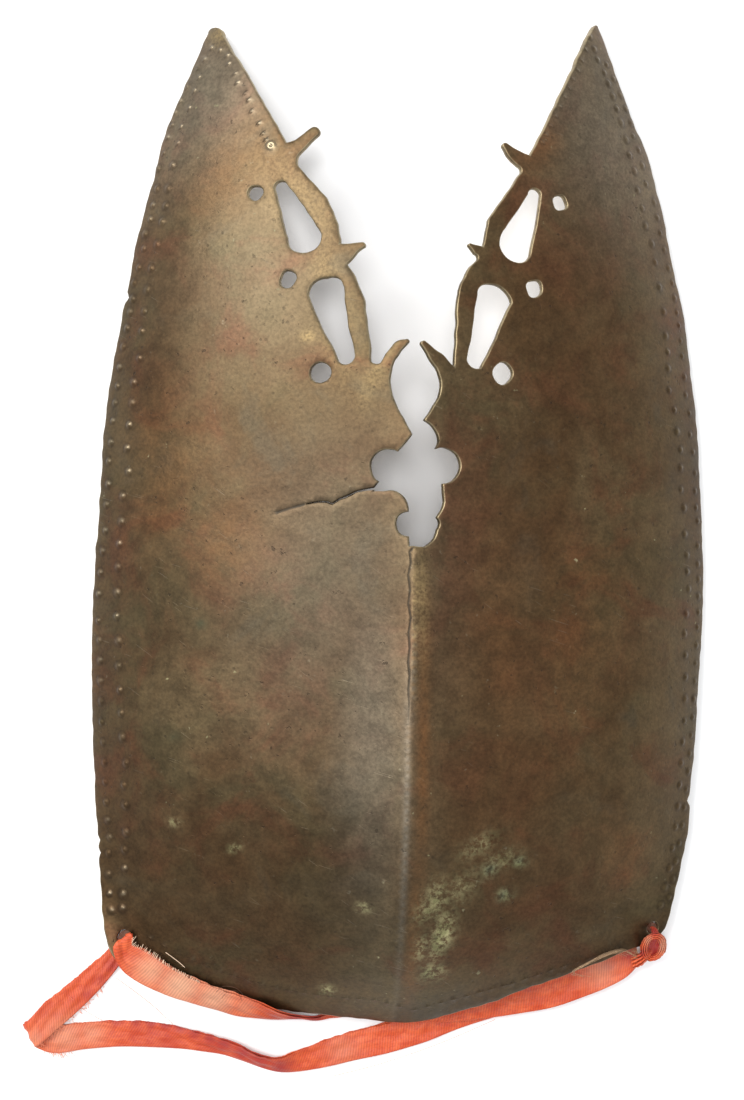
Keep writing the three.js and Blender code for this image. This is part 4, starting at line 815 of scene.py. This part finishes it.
plate = add_mesh("plate_sheet", co, faces, alloy)
slit = segment_distance(plan_all, [row[:2] for row in CRACK_SIDE])
attr["edge"] = [np.concatenate(attr["edge"]) * np.clip((slit - 0.7) / 1.4, 0.12, 1)]
for name, parts in attr.items():
    add_values(plate.data, name, np.concatenate(parts))
add_values(plate.data, "verdigris", patch(VERDIGRIS))
add_values(plate.data, "orange", patch(ORANGE))
add_values(plate.data, "brass", patch(BRASS))
add_values(plate.data, "grey", patch(PAINTED_SHEEN))
add_values(plate.data, "warm", patch(WARM))
add_values(plate.data, "dark_green", patch(DARK_GREEN))
# painted shade: the right half, the left face, the right rim, the foot and the rolled lower edge are darkened in the
# colour
right = np.clip((plan_all[:, 0] - 0.5) / 5, 0, 1) * np.clip((78 - plan_all[:, 1]) / 40, 0, 1)
left = np.clip((-1.5 - plan_all[:, 0]) / 8, 0, 1) * np.clip((100 - plan_all[:, 1]) / 60, 0, 1)
rim = np.clip((plan_all[:, 0] / curve(HALF_WIDTH, plan_all[:, 1]) - 0.80) / 0.18, 0, 1)
foot = np.clip((-62 - plan_all[:, 1]) / 62, 0, 1)
rolled = np.clip(1 - (plan_all[:, 1] - LOWER_Y - LOWER_RISE * (plan_all[:, 0] / LOWER_AT) ** 2) / 16, 0, 1)
add_values(plate.data, "shade", np.clip(np.maximum.reduce([foot * np.where(plan_all[:, 0] < 0, 0.40, 0.50), rolled * np.where(plan_all[:, 0] < 0, 0.45, 0.85), right * (0.12 + 0.44 * rim), left * 0.42, right * rim * foot * 0.95]), 0, 1))
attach(plate, "root")
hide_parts("forehead_plate")


# ------------------------------------------------------------------ ribbon
RIBBON_FRONT = [
    (-72.4, -104.2, 3.4, -73.8, -106.4, 3.4), (-72.3, -104.2, 5.0, -74.1, -106.6, 5.0), (-71.2, -103.8, 6.3, -76.1, -107.0, 6.2), (-71.0, -105.3, 6.1, -75.9, -109.6, 5.9), (-71.0, -106.7, 5.7, -74.9, -112.2, 5.3),
    (-68.3, -107.9, 5.9, -72.8, -114.8, 4.9), (-64.8, -110.0, 6.2, -67.9, -118.0, 4.1), (-59.9, -113.1, 6.4, -62.0, -120.7, 3.2), (-54.5, -115.8, 6.4, -56.0, -122.7, 2.7), (-48.6, -118.1, 6.7, -49.8, -124.5, 2.3),
    (-42.1, -120.2, 6.9, -43.0, -126.4, 2.1), (-36.6, -122.2, 7.1, -37.0, -127.2, 2.2), (-31.5, -124.6, 7.0, -31.5, -127.6, 1.2), (-26.5, -126.0, 5.8, -26.5, -127.3, 1.0), (-21.0, -126.7, 3.0, -21.0, -127.5, 0.8),
    (-15.5, -124.2, 1.6, -15.5, -127.2, 0.7), (-9.5, -120.2, 0.8, -10.0, -126.4, 0.7), (-2.0, -119.4, 1.5, -2.0, -126.2, 1.7), (5.0, -120.4, 2.3, 5.6, -127.8, 2.3), (13.4, -120.8, 2.3, 15.0, -128.0, 2.3),
    (22.6, -119.8, 2.3, 24.8, -127.0, 2.3), (31.4, -118.6, 2.3, 33.6, -125.7, 2.3), (40.6, -116.4, 2.3, 42.2, -124.2, 2.3), (48.6, -112.9, 2.3, 50.8, -121.4, 2.3), (55.8, -110.1, 2.3, 58.2, -118.4, 2.3),
    (61.8, -108.3, 2.3, 63.6, -115.4, 2.3), (66.0, -107.3, 2.3, 66.6, -112.4, 2.3),
]
RIBBON_REAR = [
    (-73.4, -103.8, 0.7, -71.0, -106.6, 0.7), (-75.6, -106.4, 0.7, -73.0, -110.2, 0.7), (-78.0, -109.2, 0.7, -75.6, -114.4, 0.7), (-83.9, -114.4, 0.8, -80.2, -120.0, 0.8), (-90.2, -119.8, 1.2, -86.4, -126.2, 1.2),
    (-94.6, -123.2, 1.9, -91.4, -130.6, 2.0), (-99.0, -128.0, 2.3, -96.0, -134.6, 2.3), (-100.2, -128.8, 1.5, -96.8, -135.2, 1.5), (-99.0, -129.4, 0.7, -94.8, -136.4, 0.7), (-91.0, -129.4, 0.7, -90.6, -137.0, 0.7),
    (-83.1, -128.6, 0.7, -83.6, -135.9, 0.7), (-74.0, -128.2, 0.7, -74.6, -135.2, 0.7), (-64.2, -128.7, 0.9, -65.0, -135.3, 0.8), (-54.3, -130.6, 2.4, -55.4, -135.9, 0.8), (-44.5, -133.2, 4.2, -45.6, -137.4, 0.9),
    (-36.6, -136.6, 5.0, -37.4, -140.2, 1.0), (-31.6, -137.6, 4.0, -30.8, -142.0, 0.9), (-25.2, -135.6, 1.8, -24.6, -141.7, 0.7), (-18.4, -133.2, 0.8, -17.4, -140.4, 0.7), (-11.8, -131.0, 0.7, -9.8, -138.6, 0.7),
    (-3.9, -129.0, 0.7, -1.6, -136.8, 0.7), (5.8, -126.0, 0.7, 8.4, -133.8, 0.7), (15.4, -122.6, 0.7, 18.0, -130.0, 0.7), (24.4, -120.0, 0.7, 26.6, -127.2, 0.7), (33.0, -118.2, 0.7, 35.0, -125.1, 0.7),
    (42.0, -115.8, 0.7, 44.0, -123.2, 0.7), (50.0, -113.0, 0.7, 52.2, -120.4, 0.7), (57.0, -111.0, 0.7, 59.2, -117.4, 0.7), (65.4, -109.2, 0.7, 66.0, -112.6, 0.7),
]
CLOTH, LAYER_GAP = 0.22, 0.29  # thickness of one layer, and each layer's distance from the strip's middle


def wavy(s, seed, sizes, amps):
    r = np.random.default_rng(seed)
    out = np.zeros_like(s)
    for size, amp in zip(sizes, amps):
        for _ in range(3):
            out += amp * np.sin(2 * math.pi * s / (size * r.uniform(0.75, 1.3)) + r.uniform(0, 6.28)) / 1.7
    return out


def ribbon(name, rows, seed, painted_shade_at=(), painted_sheen_at=()):
    """Two layers of one strip folded lengthwise: the fold along the lower border, both woven borders along the upper one."""
    t = np.asarray(rows, float)
    line = np.hstack([t[:, :3], t[:, 3:]])
    both = np.array(smooth_line(line, 1.25))
    up_b, lo_b = both[:, :3], both[:, 3:]
    centre_l = (up_b + lo_b) / 2
    s = np.concatenate([[0], np.cumsum(np.linalg.norm(np.diff(centre_l, axis=0), axis=1))])
    n_fine = int(s[-1] / 0.55)
    sf = np.linspace(0, s[-1], n_fine)
    up_b = np.stack([np.interp(sf, s, up_b[:, k]) for k in range(3)], -1)
    lo_b = np.stack([np.interp(sf, s, lo_b[:, k]) for k in range(3)], -1)
    centre_l = (up_b + lo_b) / 2
    along = np.gradient(centre_l, axis=0)
    along /= np.linalg.norm(along, axis=1, keepdims=True)
    across = lo_b - up_b
    width = np.linalg.norm(across, axis=1)
    across /= width[:, None]
    n = np.cross(along, -across)
    n /= np.linalg.norm(n, axis=1, keepdims=True)
    full = 16.0
    m_layer, m_fold = 22, 7
    # one layer's path across, from the upper border to the fold and back
    g = LAYER_GAP
    path_a = np.concatenate([np.linspace(0, 1, m_layer), np.ones(m_fold), np.linspace(1, 0, m_layer)])
    fold = np.concatenate([np.zeros(m_layer), np.linspace(0, math.pi, m_fold + 2)[1:-1], np.full(m_layer, math.pi)])
    M = len(path_a)
    border1 = 0.16 + wavy(sf, seed + 1, (9, 3.1, 1.3), (0.16, 0.09, 0.05))
    border2 = 0.05 + wavy(sf, seed + 2, (11, 3.7, 1.1), (0.14, 0.08, 0.04))
    squeeze = np.clip(1 - width / 7.2, 0, 0.8)
    pts = np.zeros((len(sf), M, 2))
    for j in range(M):
        first = j < m_layer + m_fold // 2
        inset0 = np.where(first, border1, border2)
        a_pos = inset0 + (width - g - inset0) * path_a[j] + g * math.sin(fold[j])
        lift = g * math.cos(fold[j])
        aa = np.full_like(sf, path_a[j])
        both_wave = 0.13 * np.sin(2 * math.pi * (aa * 1.3 + sf / 37) + seed) * np.sin(2 * math.pi * sf / 23 + seed)
        both_wave += 0.10 * np.sin(2 * math.pi * (aa * 2.1 - sf / 15) + 1.7 * seed)
        pleat = squeeze * 0.22 * np.sin(2 * math.pi * aa * 2.6 + 0.5 * np.sin(sf / 5))
        own = 0.05 * np.sin(2 * math.pi * (aa * 1.7 + sf / 9.0) + (0 if first else 2.1))
        edge_flat = np.clip(path_a[j] * 5, 0.3, 1)
        pts[:, j, 0] = a_pos
        pts[:, j, 1] = lift + (both_wave + pleat + own) * edge_flat
    d = np.gradient(pts, axis=1)
    d /= np.linalg.norm(d, axis=2, keepdims=True) + 1e-9
    off = np.stack([-d[..., 1], d[..., 0]], -1) * (CLOTH / 2)
    cloth_v = full * np.arange(M) / (M - 1)
    skins = []
    for sign in (1, -1):
        q = pts + sign * off
        skins.append(up_b[:, None, :] + across[:, None, :] * q[..., 0:1] + n[:, None, :] * q[..., 1:2])
    N = len(sf)
    verts = np.concatenate([skins[0].reshape(-1, 3), skins[1].reshape(-1, 3)])
    verts[:, 2] = np.maximum(verts[:, 2], 0.03)
    uv = np.concatenate([np.stack(np.broadcast_arrays(sf[:, None], cloth_v[None]), -1).reshape(-1, 2)] * 2)
    quads = []
    half = N * M

    def at(side, i, j):
        return side * half + i * M + j

    for i in range(N - 1):
        for j in range(M - 1):
            quads.append((at(0, i, j), at(0, i + 1, j), at(0, i + 1, j + 1), at(0, i, j + 1)))
            quads.append((at(1, i, j), at(1, i, j + 1), at(1, i + 1, j + 1), at(1, i + 1, j)))
        quads.append((at(0, i, 0), at(1, i, 0), at(1, i + 1, 0), at(0, i + 1, 0)))
        quads.append((at(0, i, M - 1), at(0, i + 1, M - 1), at(1, i + 1, M - 1), at(1, i, M - 1)))
    for j in range(M - 1):
        quads.append((at(0, 0, j), at(0, 0, j + 1), at(1, 0, j + 1), at(1, 0, j)))
        quads.append((at(0, N - 1, j), at(1, N - 1, j), at(1, N - 1, j + 1), at(0, N - 1, j + 1)))
    ob = add_mesh(name, (verts + SHIFT) * MM, quads, satin)
    layer = ob.data.uv_layers.new(name="cloth")
    idx = np.empty(len(ob.data.loops), np.int32)
    ob.data.loops.foreach_get("vertex_index", idx)
    layer.data.foreach_set("uv", uv[idx].astype(np.float32).ravel())
    # painted shade (deep) and painted satin sheen (pale) around the given spots
    shade = np.zeros(len(verts))
    pale = np.zeros(len(verts))
    for x, y, r, k in painted_shade_at:
        shade = np.maximum(shade, k * np.exp(-(((verts[:, 0] - x) ** 2 + (verts[:, 1] - y) ** 2) / (r * r))))
    for x, y, r, k in painted_sheen_at:
        pale = np.maximum(pale, k * np.exp(-(((verts[:, 0] - x) ** 2 + (verts[:, 1] - y) ** 2) / (r * r))))
    add_values(ob.data, "deep", shade)
    add_values(ob.data, "pale", pale)
    return ob, {"s": sf, "upper": up_b, "lower": lo_b, "along": along, "across": across, "n": n, "width": width}


def tubes(name, strands, material, sides=5):
    """Thin threads: each strand is (points in mm, radius)."""
    verts, quads, base_i = [], [], 0
    for pts, radius in strands:
        p = np.array(smooth_line(pts, 0.35)) if len(pts) > 2 else np.asarray(pts, float)
        t = np.gradient(p, axis=0)
        t /= np.linalg.norm(t, axis=1, keepdims=True) + 1e-9
        side = np.cross(t, [0.13, 0.21, 0.97])
        side /= np.linalg.norm(side, axis=1, keepdims=True) + 1e-9
        upv = np.cross(side, t)
        for k in range(sides):
            f = 2 * math.pi * k / sides
            verts.append(p + radius * (math.cos(f) * side + math.sin(f) * upv))
        n = len(p)
        for i in range(n - 1):
            for k in range(sides):
                m = (k + 1) % sides
                quads.append((base_i + k * n + i, base_i + m * n + i, base_i + m * n + i + 1, base_i + k * n + i + 1))
        quads.append(tuple(base_i + k * n for k in range(sides))[::-1])
        quads.append(tuple(base_i + k * n + n - 1 for k in range(sides)))
        base_i += sides * n
    ob = add_mesh(name, (np.vstack(verts) + SHIFT) * MM, quads, material)
    return ob


front, front_line = ribbon(
    "ribbon_front_cloth", RIBBON_FRONT, 3,
    painted_shade_at=[(-32, -127, 3.0, 0.5), (-27, -127, 3.5, 0.8), (-22, -127, 3.5, 0.9), (64.0, -109.6, 2.4, 0.8), (58, -112.5, 2.0, 0.5), (48, -114.0, 2.2, 0.5), (36, -118.0, 2.4, 0.5), (24, -120.4, 2.4, 0.45), (15, -121.6, 2.6, 0.5)],
    painted_sheen_at=[(-66, -114, 5, 0.7), (-58, -118, 6.5, 0.9), (-49, -121.5, 6, 0.8), (-41, -123.5, 3.5, 0.4), (56, -114, 5, 0.4)],
)
rear, rear_line = ribbon(
    "ribbon_rear_cloth", RIBBON_REAR, 11,
    painted_shade_at=[(-76.5, -113.5, 2.2, 0.7), (-79.5, -117.5, 2.2, 0.6), (-83, -121, 2.0, 0.5), (-37, -139, 5, 0.8), (-31, -140.8, 3.5, 0.9), (-46, -134.0, 3.0, 0.9), (-41, -136.5, 3.0, 0.9), (-50, -132.6, 2.2, 0.9), (-54, -131.0, 2.2, 0.9), (-58, -129.9, 2.0, 0.9), (-62, -129.1, 1.9, 0.85), (-66, -128.7, 1.9, 0.85), (-70, -128.4, 1.8, 0.8), (-75, -128.3, 1.7, 0.7), (-64, -133, 11, 0.35), (-48, -135, 7, 0.4)],
    painted_sheen_at=[(-89, -132.5, 6, 0.45), (-82, -131.5, 4, 0.4), (-97, -133, 3, 0.4), (-14, -136, 5, 0.25)],
)

# frayed borders and loose threads
fray_front, fray_dark, fray_rear = [], [], []
for i in range(4, 74):  # short cross threads standing out of the upper border near the hole
    s_at = 3.2 + i * 0.36 + rng.normal(0, 0.08)
    k = int(np.argmin(np.abs(front_line["s"] - s_at)))
    u, a, n = front_line["upper"][k], front_line["across"][k], front_line["n"][k]
    reach = rng.uniform(0.25, 1.15) * (1.25 - i / 74)
    lean = front_line["along"][k] * rng.normal(0, 0.25)
    start_p = u + a * 0.5 + n * 0.42
    (fray_front if i % 3 else fray_dark).append(([start_p, u + n * 0.5 + lean * 0.4, u - a * reach * 0.6 + n * 0.3 + lean, u - a * reach + n * 0.1 + lean * 1.4], 0.07))
for i in range(46):
    k = int(rng.uniform(0.05, 0.24) * len(rear_line["s"]))
    l, a, n = rear_line["lower"][k], rear_line["across"][k], rear_line["n"][k]
    reach = rng.uniform(0.5, 1.7)
    lean = rear_line["along"][k] * rng.normal(0, 0.5)
    z0 = max(l[2], 0.3)
    fray_rear.append(([l - a * 0.3, l + a * 0.3 * reach + lean * 0.4, (l + a * 0.7 * reach + lean), np.array([*(l + a * reach + lean * 1.5)[:2], rng.uniform(0.15, 0.9)])], 0.055))


def on_plate(x, y, w):
    return place(np.array([[x, y]]), w)[0]


hairs_front = [
    ([on_plate(-62.0, -108.6, 0.6), on_plate(-58.5, -111.2, 0.5), (-57.0, -112.8, 6.9)], 0.09),
    ([(-48.6, -119.4, 7.0), on_plate(-46.5, -117.5, 0.7), on_plate(-43.0, -118.0, 0.5), (-40.5, -120.9, 7.4)], 0.05),
    ([(-47.0, -121.2, 6.9), on_plate(-45.2, -118.9, 0.6), on_plate(-42.8, -118.9, 0.5), (-41.6, -121.6, 7.4)], 0.05),
]
hairs_table = [
    ([(-75.5, -116.6, 1.6), (-71.0, -120.0, 0.5), (-65.6, -124.2, 0.3), (-60.0, -129.0, 1.8)], 0.06),
    ([(-16.2, -143.2, 0.3), (-4.0, -140.0, 0.5), (12.0, -134.5, 0.4), (27.6, -127.6, 1.4)], 0.055),
    ([(-88.0, -121.5, 2.2), (-84.0, -125.4, 0.6), (-79.0, -128.2, 1.3)], 0.05),
    ([(38.9, -117.6, 3.1), (45.4, -109.2, 7.6), (53.4, -108.6, 7.0), (56.6, -111.2, 3.4)], 0.05),
    ([(48.4, -111.6, 3.3), (52.2, -108.9, 7.4), (56.0, -110.6, 3.6)], 0.05),
]
cream = tubes("ribbon_front_fray", fray_front + hairs_front[:1], thread_cream)
brown = tubes("ribbon_front_fray_dark", fray_dark + hairs_front[1:], thread_dark)
rear_fray = tubes("ribbon_rear_fray", fray_rear + hairs_table, thread_coral)


# ------------------------------------------------------------------ knot
KX, KY, KZ, KR1, KR2, KW, KH, KS = 70.0, -106.8, 6.35, 2.5, 3.35, 1.15, 0.95, 0.75
knot_path = [(64.6, -111.6, 3.3, 5.2, 0.9), (66.0, -110.9, 3.8, 4.9, 1.3), (67.2, -110.2, 4.2, 3.9, 1.5)]
for k in range(17):
    f = math.radians(232 + 352 * k / 16)
    swell = 1 + 0.18 * math.sin(f * 2 + 0.6)
    knot_path.append((KX + KR1 * math.cos(f), KY + KR2 * math.sin(f), KZ + KS * KR2 * math.sin(f) + 0.25 * k / 16, 2 * KW * swell, 2 * KH))
ring_last = len(knot_path) - 1
knot_path += [(69.3, -108.3, 4.6, 1.8, 1.3), (69.9, -106.6, 5.7, 2.6, 1.0), (70.3, -104.6, 7.2, 2.7, 0.9), (70.2, -103.0, 8.2, 2.3, 0.85), (70.05, -102.2, 7.4, 1.9, 0.85), (70.0, -101.9, 6.2, 1.5, 0.85), (69.75, -101.85, 4.4, 1.4, 0.85), (69.4, -101.8, 2.7, 1.5, 0.85), (70.0, -102.8, 1.65, 2.1, 0.85), (70.4, -105.0, 1.15, 2.8, 0.85), (70.6, -108.2, 1.5, 3.0, 0.8), (70.4, -110.0, 3.1, 2.6, 0.8)]
kp = np.array(smooth_line(knot_path, 0.28))
centre_k, wide_k, high_k = kp[:, :3], kp[:, 3], kp[:, 4]
tk = np.gradient(centre_k, axis=0)
tk /= np.linalg.norm(tk, axis=1, keepdims=True)
side_k = np.zeros_like(tk)
ref = np.array([1.0, 0.0, 0.0])
for i in range(len(tk)):
    lateral = ref - tk[i] * (ref @ tk[i]) if i else np.array([0.0, 0.0, 1.0]) - tk[0] * tk[0][2]
    if i:
        lateral = side_k[i - 1] - tk[i] * (side_k[i - 1] @ tk[i])
    side_k[i] = lateral / np.linalg.norm(lateral)
# in the ring the cloth's width lies radially, in the band it lies along x
ring_n = int(np.argmin(np.linalg.norm(centre_k - np.array(knot_path[ring_last][:3]), axis=1)))
for i in range(len(tk)):
    if i <= ring_n:
        want = np.array([centre_k[i][0] - KX, centre_k[i][1] - KY, 0.0])
    else:
        want = np.array([1.0, 0.0, 0.0])
        blend = min(1.0, (i - ring_n) / 10)
        old = np.array([centre_k[ring_n][0] - KX, centre_k[ring_n][1] - KY, 0.0])
        old /= np.linalg.norm(old)
        want = old * (1 - blend) + want * blend
    want = want - tk[i] * (want @ tk[i])
    side_k[i] = want / np.linalg.norm(want)
up_k = np.cross(tk, side_k)
up_k *= np.sign(up_k[:, 2:3] * 0 + 1)
passes, per = 8, 5
cross = []
for k in range(passes):
    xk = (-1 + (2 * k + 1) / passes) * 0.94
    hk = math.sqrt(max(0.05, 1 - (abs(xk)) ** 2.4))
    ys_ = np.linspace(-hk, hk, per) if k % 2 == 0 else np.linspace(hk, -hk, per)
    cross += [(xk + 0.02 * math.sin(4 * y_), y_) for y_ in ys_]
cross = np.array(cross)
Mk = len(cross)
sk = np.concatenate([[0], np.cumsum(np.linalg.norm(np.diff(centre_k, axis=0), axis=1))])
twist = 0.35 * np.sin(sk / 3.1) + 0.25 * np.sin(sk / 1.3 + 1)
cx = cross[None, :, 0] * np.cos(twist)[:, None] - cross[None, :, 1] * np.sin(twist)[:, None] * 0.35
cy = cross[None, :, 1] + cross[None, :, 0] * np.sin(twist)[:, None] * 0.35
ripple = 1 + 0.07 * np.sin(sk * 2.1)[:, None] * np.cos(3 * cross[None, :, 0]) + 0.05 * np.sin(sk * 5.3 + 1)[:, None]
px, py = cx * (wide_k / 2)[:, None] * ripple, cy * (high_k / 2)[:, None] * ripple
dd = np.stack([np.gradient(px, axis=1), np.gradient(py, axis=1)], -1)
dd /= np.linalg.norm(dd, axis=2, keepdims=True) + 1e-9
offk = np.stack([-dd[..., 1], dd[..., 0]], -1) * 0.05
kv = []
for sign in (1, -1):
    qx, qy = px + sign * offk[..., 0], py + sign * offk[..., 1]
    kv.append(centre_k[:, None, :] + side_k[:, None, :] * qx[..., None] + up_k[:, None, :] * qy[..., None])
Nk = len(kp)
kverts = np.concatenate([kv[0].reshape(-1, 3), kv[1].reshape(-1, 3)])
kverts[:, 2] = np.maximum(kverts[:, 2], 0.04)
kq = []
hk_ = Nk * Mk
for i in range(Nk - 1):
    for j in range(Mk - 1):
        kq.append((i * Mk + j, (i + 1) * Mk + j, (i + 1) * Mk + j + 1, i * Mk + j + 1))
        kq.append((hk_ + i * Mk + j, hk_ + i * Mk + j + 1, hk_ + (i + 1) * Mk + j + 1, hk_ + (i + 1) * Mk + j))
    kq.append((i * Mk, hk_ + i * Mk, hk_ + (i + 1) * Mk, (i + 1) * Mk))
    kq.append((i * Mk + Mk - 1, (i + 1) * Mk + Mk - 1, hk_ + (i + 1) * Mk + Mk - 1, hk_ + i * Mk + Mk - 1))
for j in range(Mk - 1):
    kq.append((j, j + 1, hk_ + j + 1, hk_ + j))
    e = (Nk - 1) * Mk
    kq.append((e + j, hk_ + e + j, hk_ + e + j + 1, e + j + 1))
knot = add_mesh("ribbon_knot_cloth", (kverts + SHIFT) * MM, kq, satin)
layer = knot.data.uv_layers.new(name="cloth")
idx = np.empty(len(knot.data.loops), np.int32)
knot.data.loops.foreach_get("vertex_index", idx)
kuv = np.concatenate([np.stack(np.broadcast_arrays(sk[:, None], (16.0 * np.arange(Mk) / (Mk - 1))[None]), -1).reshape(-1, 2)] * 2)
layer.data.foreach_set("uv", kuv[idx].astype(np.float32).ravel())
# painted shade inside the ring, on the band by the hole and at the ring's left; painted satin sheen on two bulges
in_ring = np.exp(-(((kverts[:, 0] - KX) / 1.7) ** 2 + ((kverts[:, 1] - KY) / 2.3) ** 2))
top_red = np.exp(-(((kverts[:, 0] - 69.8) / 1.6) ** 2 + ((kverts[:, 1] + 102.3) / 0.9) ** 2))
left_red = np.exp(-(((kverts[:, 0] - 66.9) / 1.0) ** 2 + ((kverts[:, 1] + 108.6) / 1.2) ** 2))
add_values(knot.data, "deep", np.clip(np.maximum(np.maximum(in_ring * 0.9, top_red * 0.95), left_red * 0.8), 0, 1))
add_values(knot.data, "pale", 0.6 * np.exp(-(((kverts[:, 0] - 72.4) / 1.2) ** 2 + ((kverts[:, 1] + 106.0) / 3.0) ** 2)) + 0.5 * np.exp(-(((kverts[:, 0] - 68.0) / 1.0) ** 2 + ((kverts[:, 1] + 104.6) / 1.6) ** 2)))

# dark plugs in the ring and in the two tie holes: painted shade where these openings show only shadow
def shade_plug(name, point_at, seed):
    rings_w, spokes = 9, 36
    top_w, bottom_w = [point_at(0.0, 0.0, 1)], [point_at(0.0, 0.0, 0)]
    for i in range(1, rings_w + 1):
        for k in range(spokes):
            f = 2 * math.pi * k / spokes
            top_w.append(point_at(i / rings_w, f, 1))
            bottom_w.append(point_at(i / rings_w, f, 0))
    n_w = len(top_w)
    out = []
    for i in range(rings_w):
        for k in range(spokes):
            m = (k + 1) % spokes
            if i == 0:
                out += [(0, 1 + k, 1 + m), (n_w, n_w + 1 + m, n_w + 1 + k)]
            else:
                a, b_, c_, d_ = 1 + (i - 1) * spokes + k, 1 + i * spokes + k, 1 + i * spokes + m, 1 + (i - 1) * spokes + m
                out += [(a, b_, c_, d_), (n_w + a, n_w + d_, n_w + c_, n_w + b_)]
    e = 1 + (rings_w - 1) * spokes
    for k in range(spokes):
        m = (k + 1) % spokes
        out.append((e + k, n_w + e + k, n_w + e + m, e + m))
    ob = add_mesh(name, (np.array(top_w + bottom_w) + SHIFT) * MM, out, satin)
    layer_w = ob.data.uv_layers.new(name="cloth")
    at_w = np.empty(len(ob.data.loops), np.int32)
    ob.data.loops.foreach_get("vertex_index", at_w)
    flat_w = np.array(top_w + bottom_w)[:, :2]
    layer_w.data.foreach_set("uv", flat_w[at_w].astype(np.float32).ravel())
    # the whole plug takes the painted shade colour of the cloth
    add_values(ob.data, "deep", np.full(2 * n_w, seed))
    add_values(ob.data, "pale", np.zeros(2 * n_w))
    return ob


def in_hole(x, y, radius):
    def at_point(share, f, upper):
        q = np.array([[x + radius * share * math.cos(f), y + radius * share * math.sin(f)]])
        w = (-0.62 + 0.16 * math.sin(5 * f + 3 * share) * share) if upper else -1.5
        return tuple(place(q, w)[0])

    return at_point


def in_ring_at(share, f, upper):
    x, y = KX + 1.9 * share * math.cos(f), KY + 2.75 * share * math.sin(f)
    z = KZ + KS * (y - KY) + (0.30 * math.sin(4 * f + 2.2 * share + 0.6) * share - 0.15 if upper else -0.85)
    return (x, y, z)


# dark plugs standing in for the shadow inside the tie holes and the ring
shade_plug_right = shade_plug("ribbon_knot_shade_plug", in_hole(70.0, -101.9, 1.5), 1.0)
shade_plug_right.data.materials[0] = thread_dark
shade_plug_left = shade_plug("ribbon_front_shade_plug", in_hole(-73.2, -105.4, 1.98), 1.0)
shade_plug_left.data.materials[0] = thread_dark
shade_plug_ring = shade_plug("ribbon_knot_core_shade_plug", in_ring_at, 1.0)

knot_fray = []
for k in range(9):
    x0, x1 = 66.2 - 0.5 * k + rng.normal(0, 0.4), 50.0 + 0.7 * k + rng.normal(0, 1.2)
    top_h = 0.4 + 0.2 * (k % 3)
    knot_fray.append(([(x0, -109.6 + rng.normal(0, 0.3), 4.4), on_plate(61.6 - 0.4 * k, -107.2 - 0.12 * k, top_h), on_plate(55.6 - 0.5 * k, -108.3 - 0.30 * k, top_h), on_plate(50.0 - 0.4 * k, -111.4 - 0.2 * k, top_h), (x1 - 4.5, -114.6 - 0.1 * k, 4.6)], 0.034))
for _ in range(26):
    x0, y0 = 65.6 + rng.normal(0, 0.7), -108.9 + rng.normal(0, 0.7)
    knot_fray.append(([(x0 + 0.9, y0 + 0.2, 3.2), (x0, y0, 3.9 + rng.uniform(0, 0.6)), (x0 - rng.uniform(0.6, 1.6), y0 + rng.normal(0, 0.5), 3.3)], 0.028))
knot_hair = tubes("ribbon_knot_fray", knot_fray, thread_tan)

for ob in (front, rear, knot, cream, brown, rear_fray, knot_hair, shade_plug_right, shade_plug_left, shade_plug_ring):
    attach(ob, "root")
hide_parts("ribbon_front")
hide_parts("ribbon_rear")
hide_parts("ribbon_knot")

# ------------------------------------------------------------------ floor and light
floor_g = Graph("floor")
floor_b = floor_g.node("ShaderNodeBsdfDiffuse", {"Color": (0.93, 0.93, 0.935, 1.0), "Roughness": 0.0})
floor_g.nt.links.new(floor_b.outputs[0], floor_g.out.inputs[0])
floor = add_mesh("floor", [(-3, -3, 0), (3, -3, 0), (3, 3, 0), (-3, 3, 0)], [(0, 1, 2, 3)], floor_g.mat, False)
world = bpy.data.worlds.new("world")
scene.world = world
world.use_nodes = True
world.node_tree.nodes["Background"].inputs[0].default_value = (0.96, 0.98, 1.0, 1.0)
world.node_tree.nodes["Background"].inputs[1].default_value = 0.76
sun_data = bpy.data.lights.new("key", "SUN")
sun_data.energy, sun_data.angle = 2.3, math.radians(34)
sun_data.color = (1.0, 0.985, 0.96)
sun = bpy.data.objects.new("key", sun_data)
scene.collection.objects.link(sun)
sun.rotation_euler = Vector((0.62, -0.36, -0.70)).to_track_quat("-Z", "Y").to_euler()
top_data = bpy.data.lights.new("overhead", "SUN")
top_data.energy, top_data.angle = 1.2, math.radians(16)
top = bpy.data.objects.new("overhead", top_data)
scene.collection.objects.link(top)
top.rotation_euler = Vector((0.10, -0.06, -0.99)).to_track_quat("-Z", "Y").to_euler()
floor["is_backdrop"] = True
scene.view_settings.view_transform = "Standard"
scene.view_settings.look = "None"
scene.view_settings.exposure = 0.0

bounds_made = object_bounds()


def as_numbers(value):
    if hasattr(value, "__len__") and not isinstance(value, str):
        return [as_numbers(v) for v in value]
    return float(value)


{"loaded": as_numbers(bounds_loaded), "made": as_numbers(bounds_made)}
print("plate triangles", sum(len(f) - 2 for f in faces), "CDT verts", nf, "of", len(every))
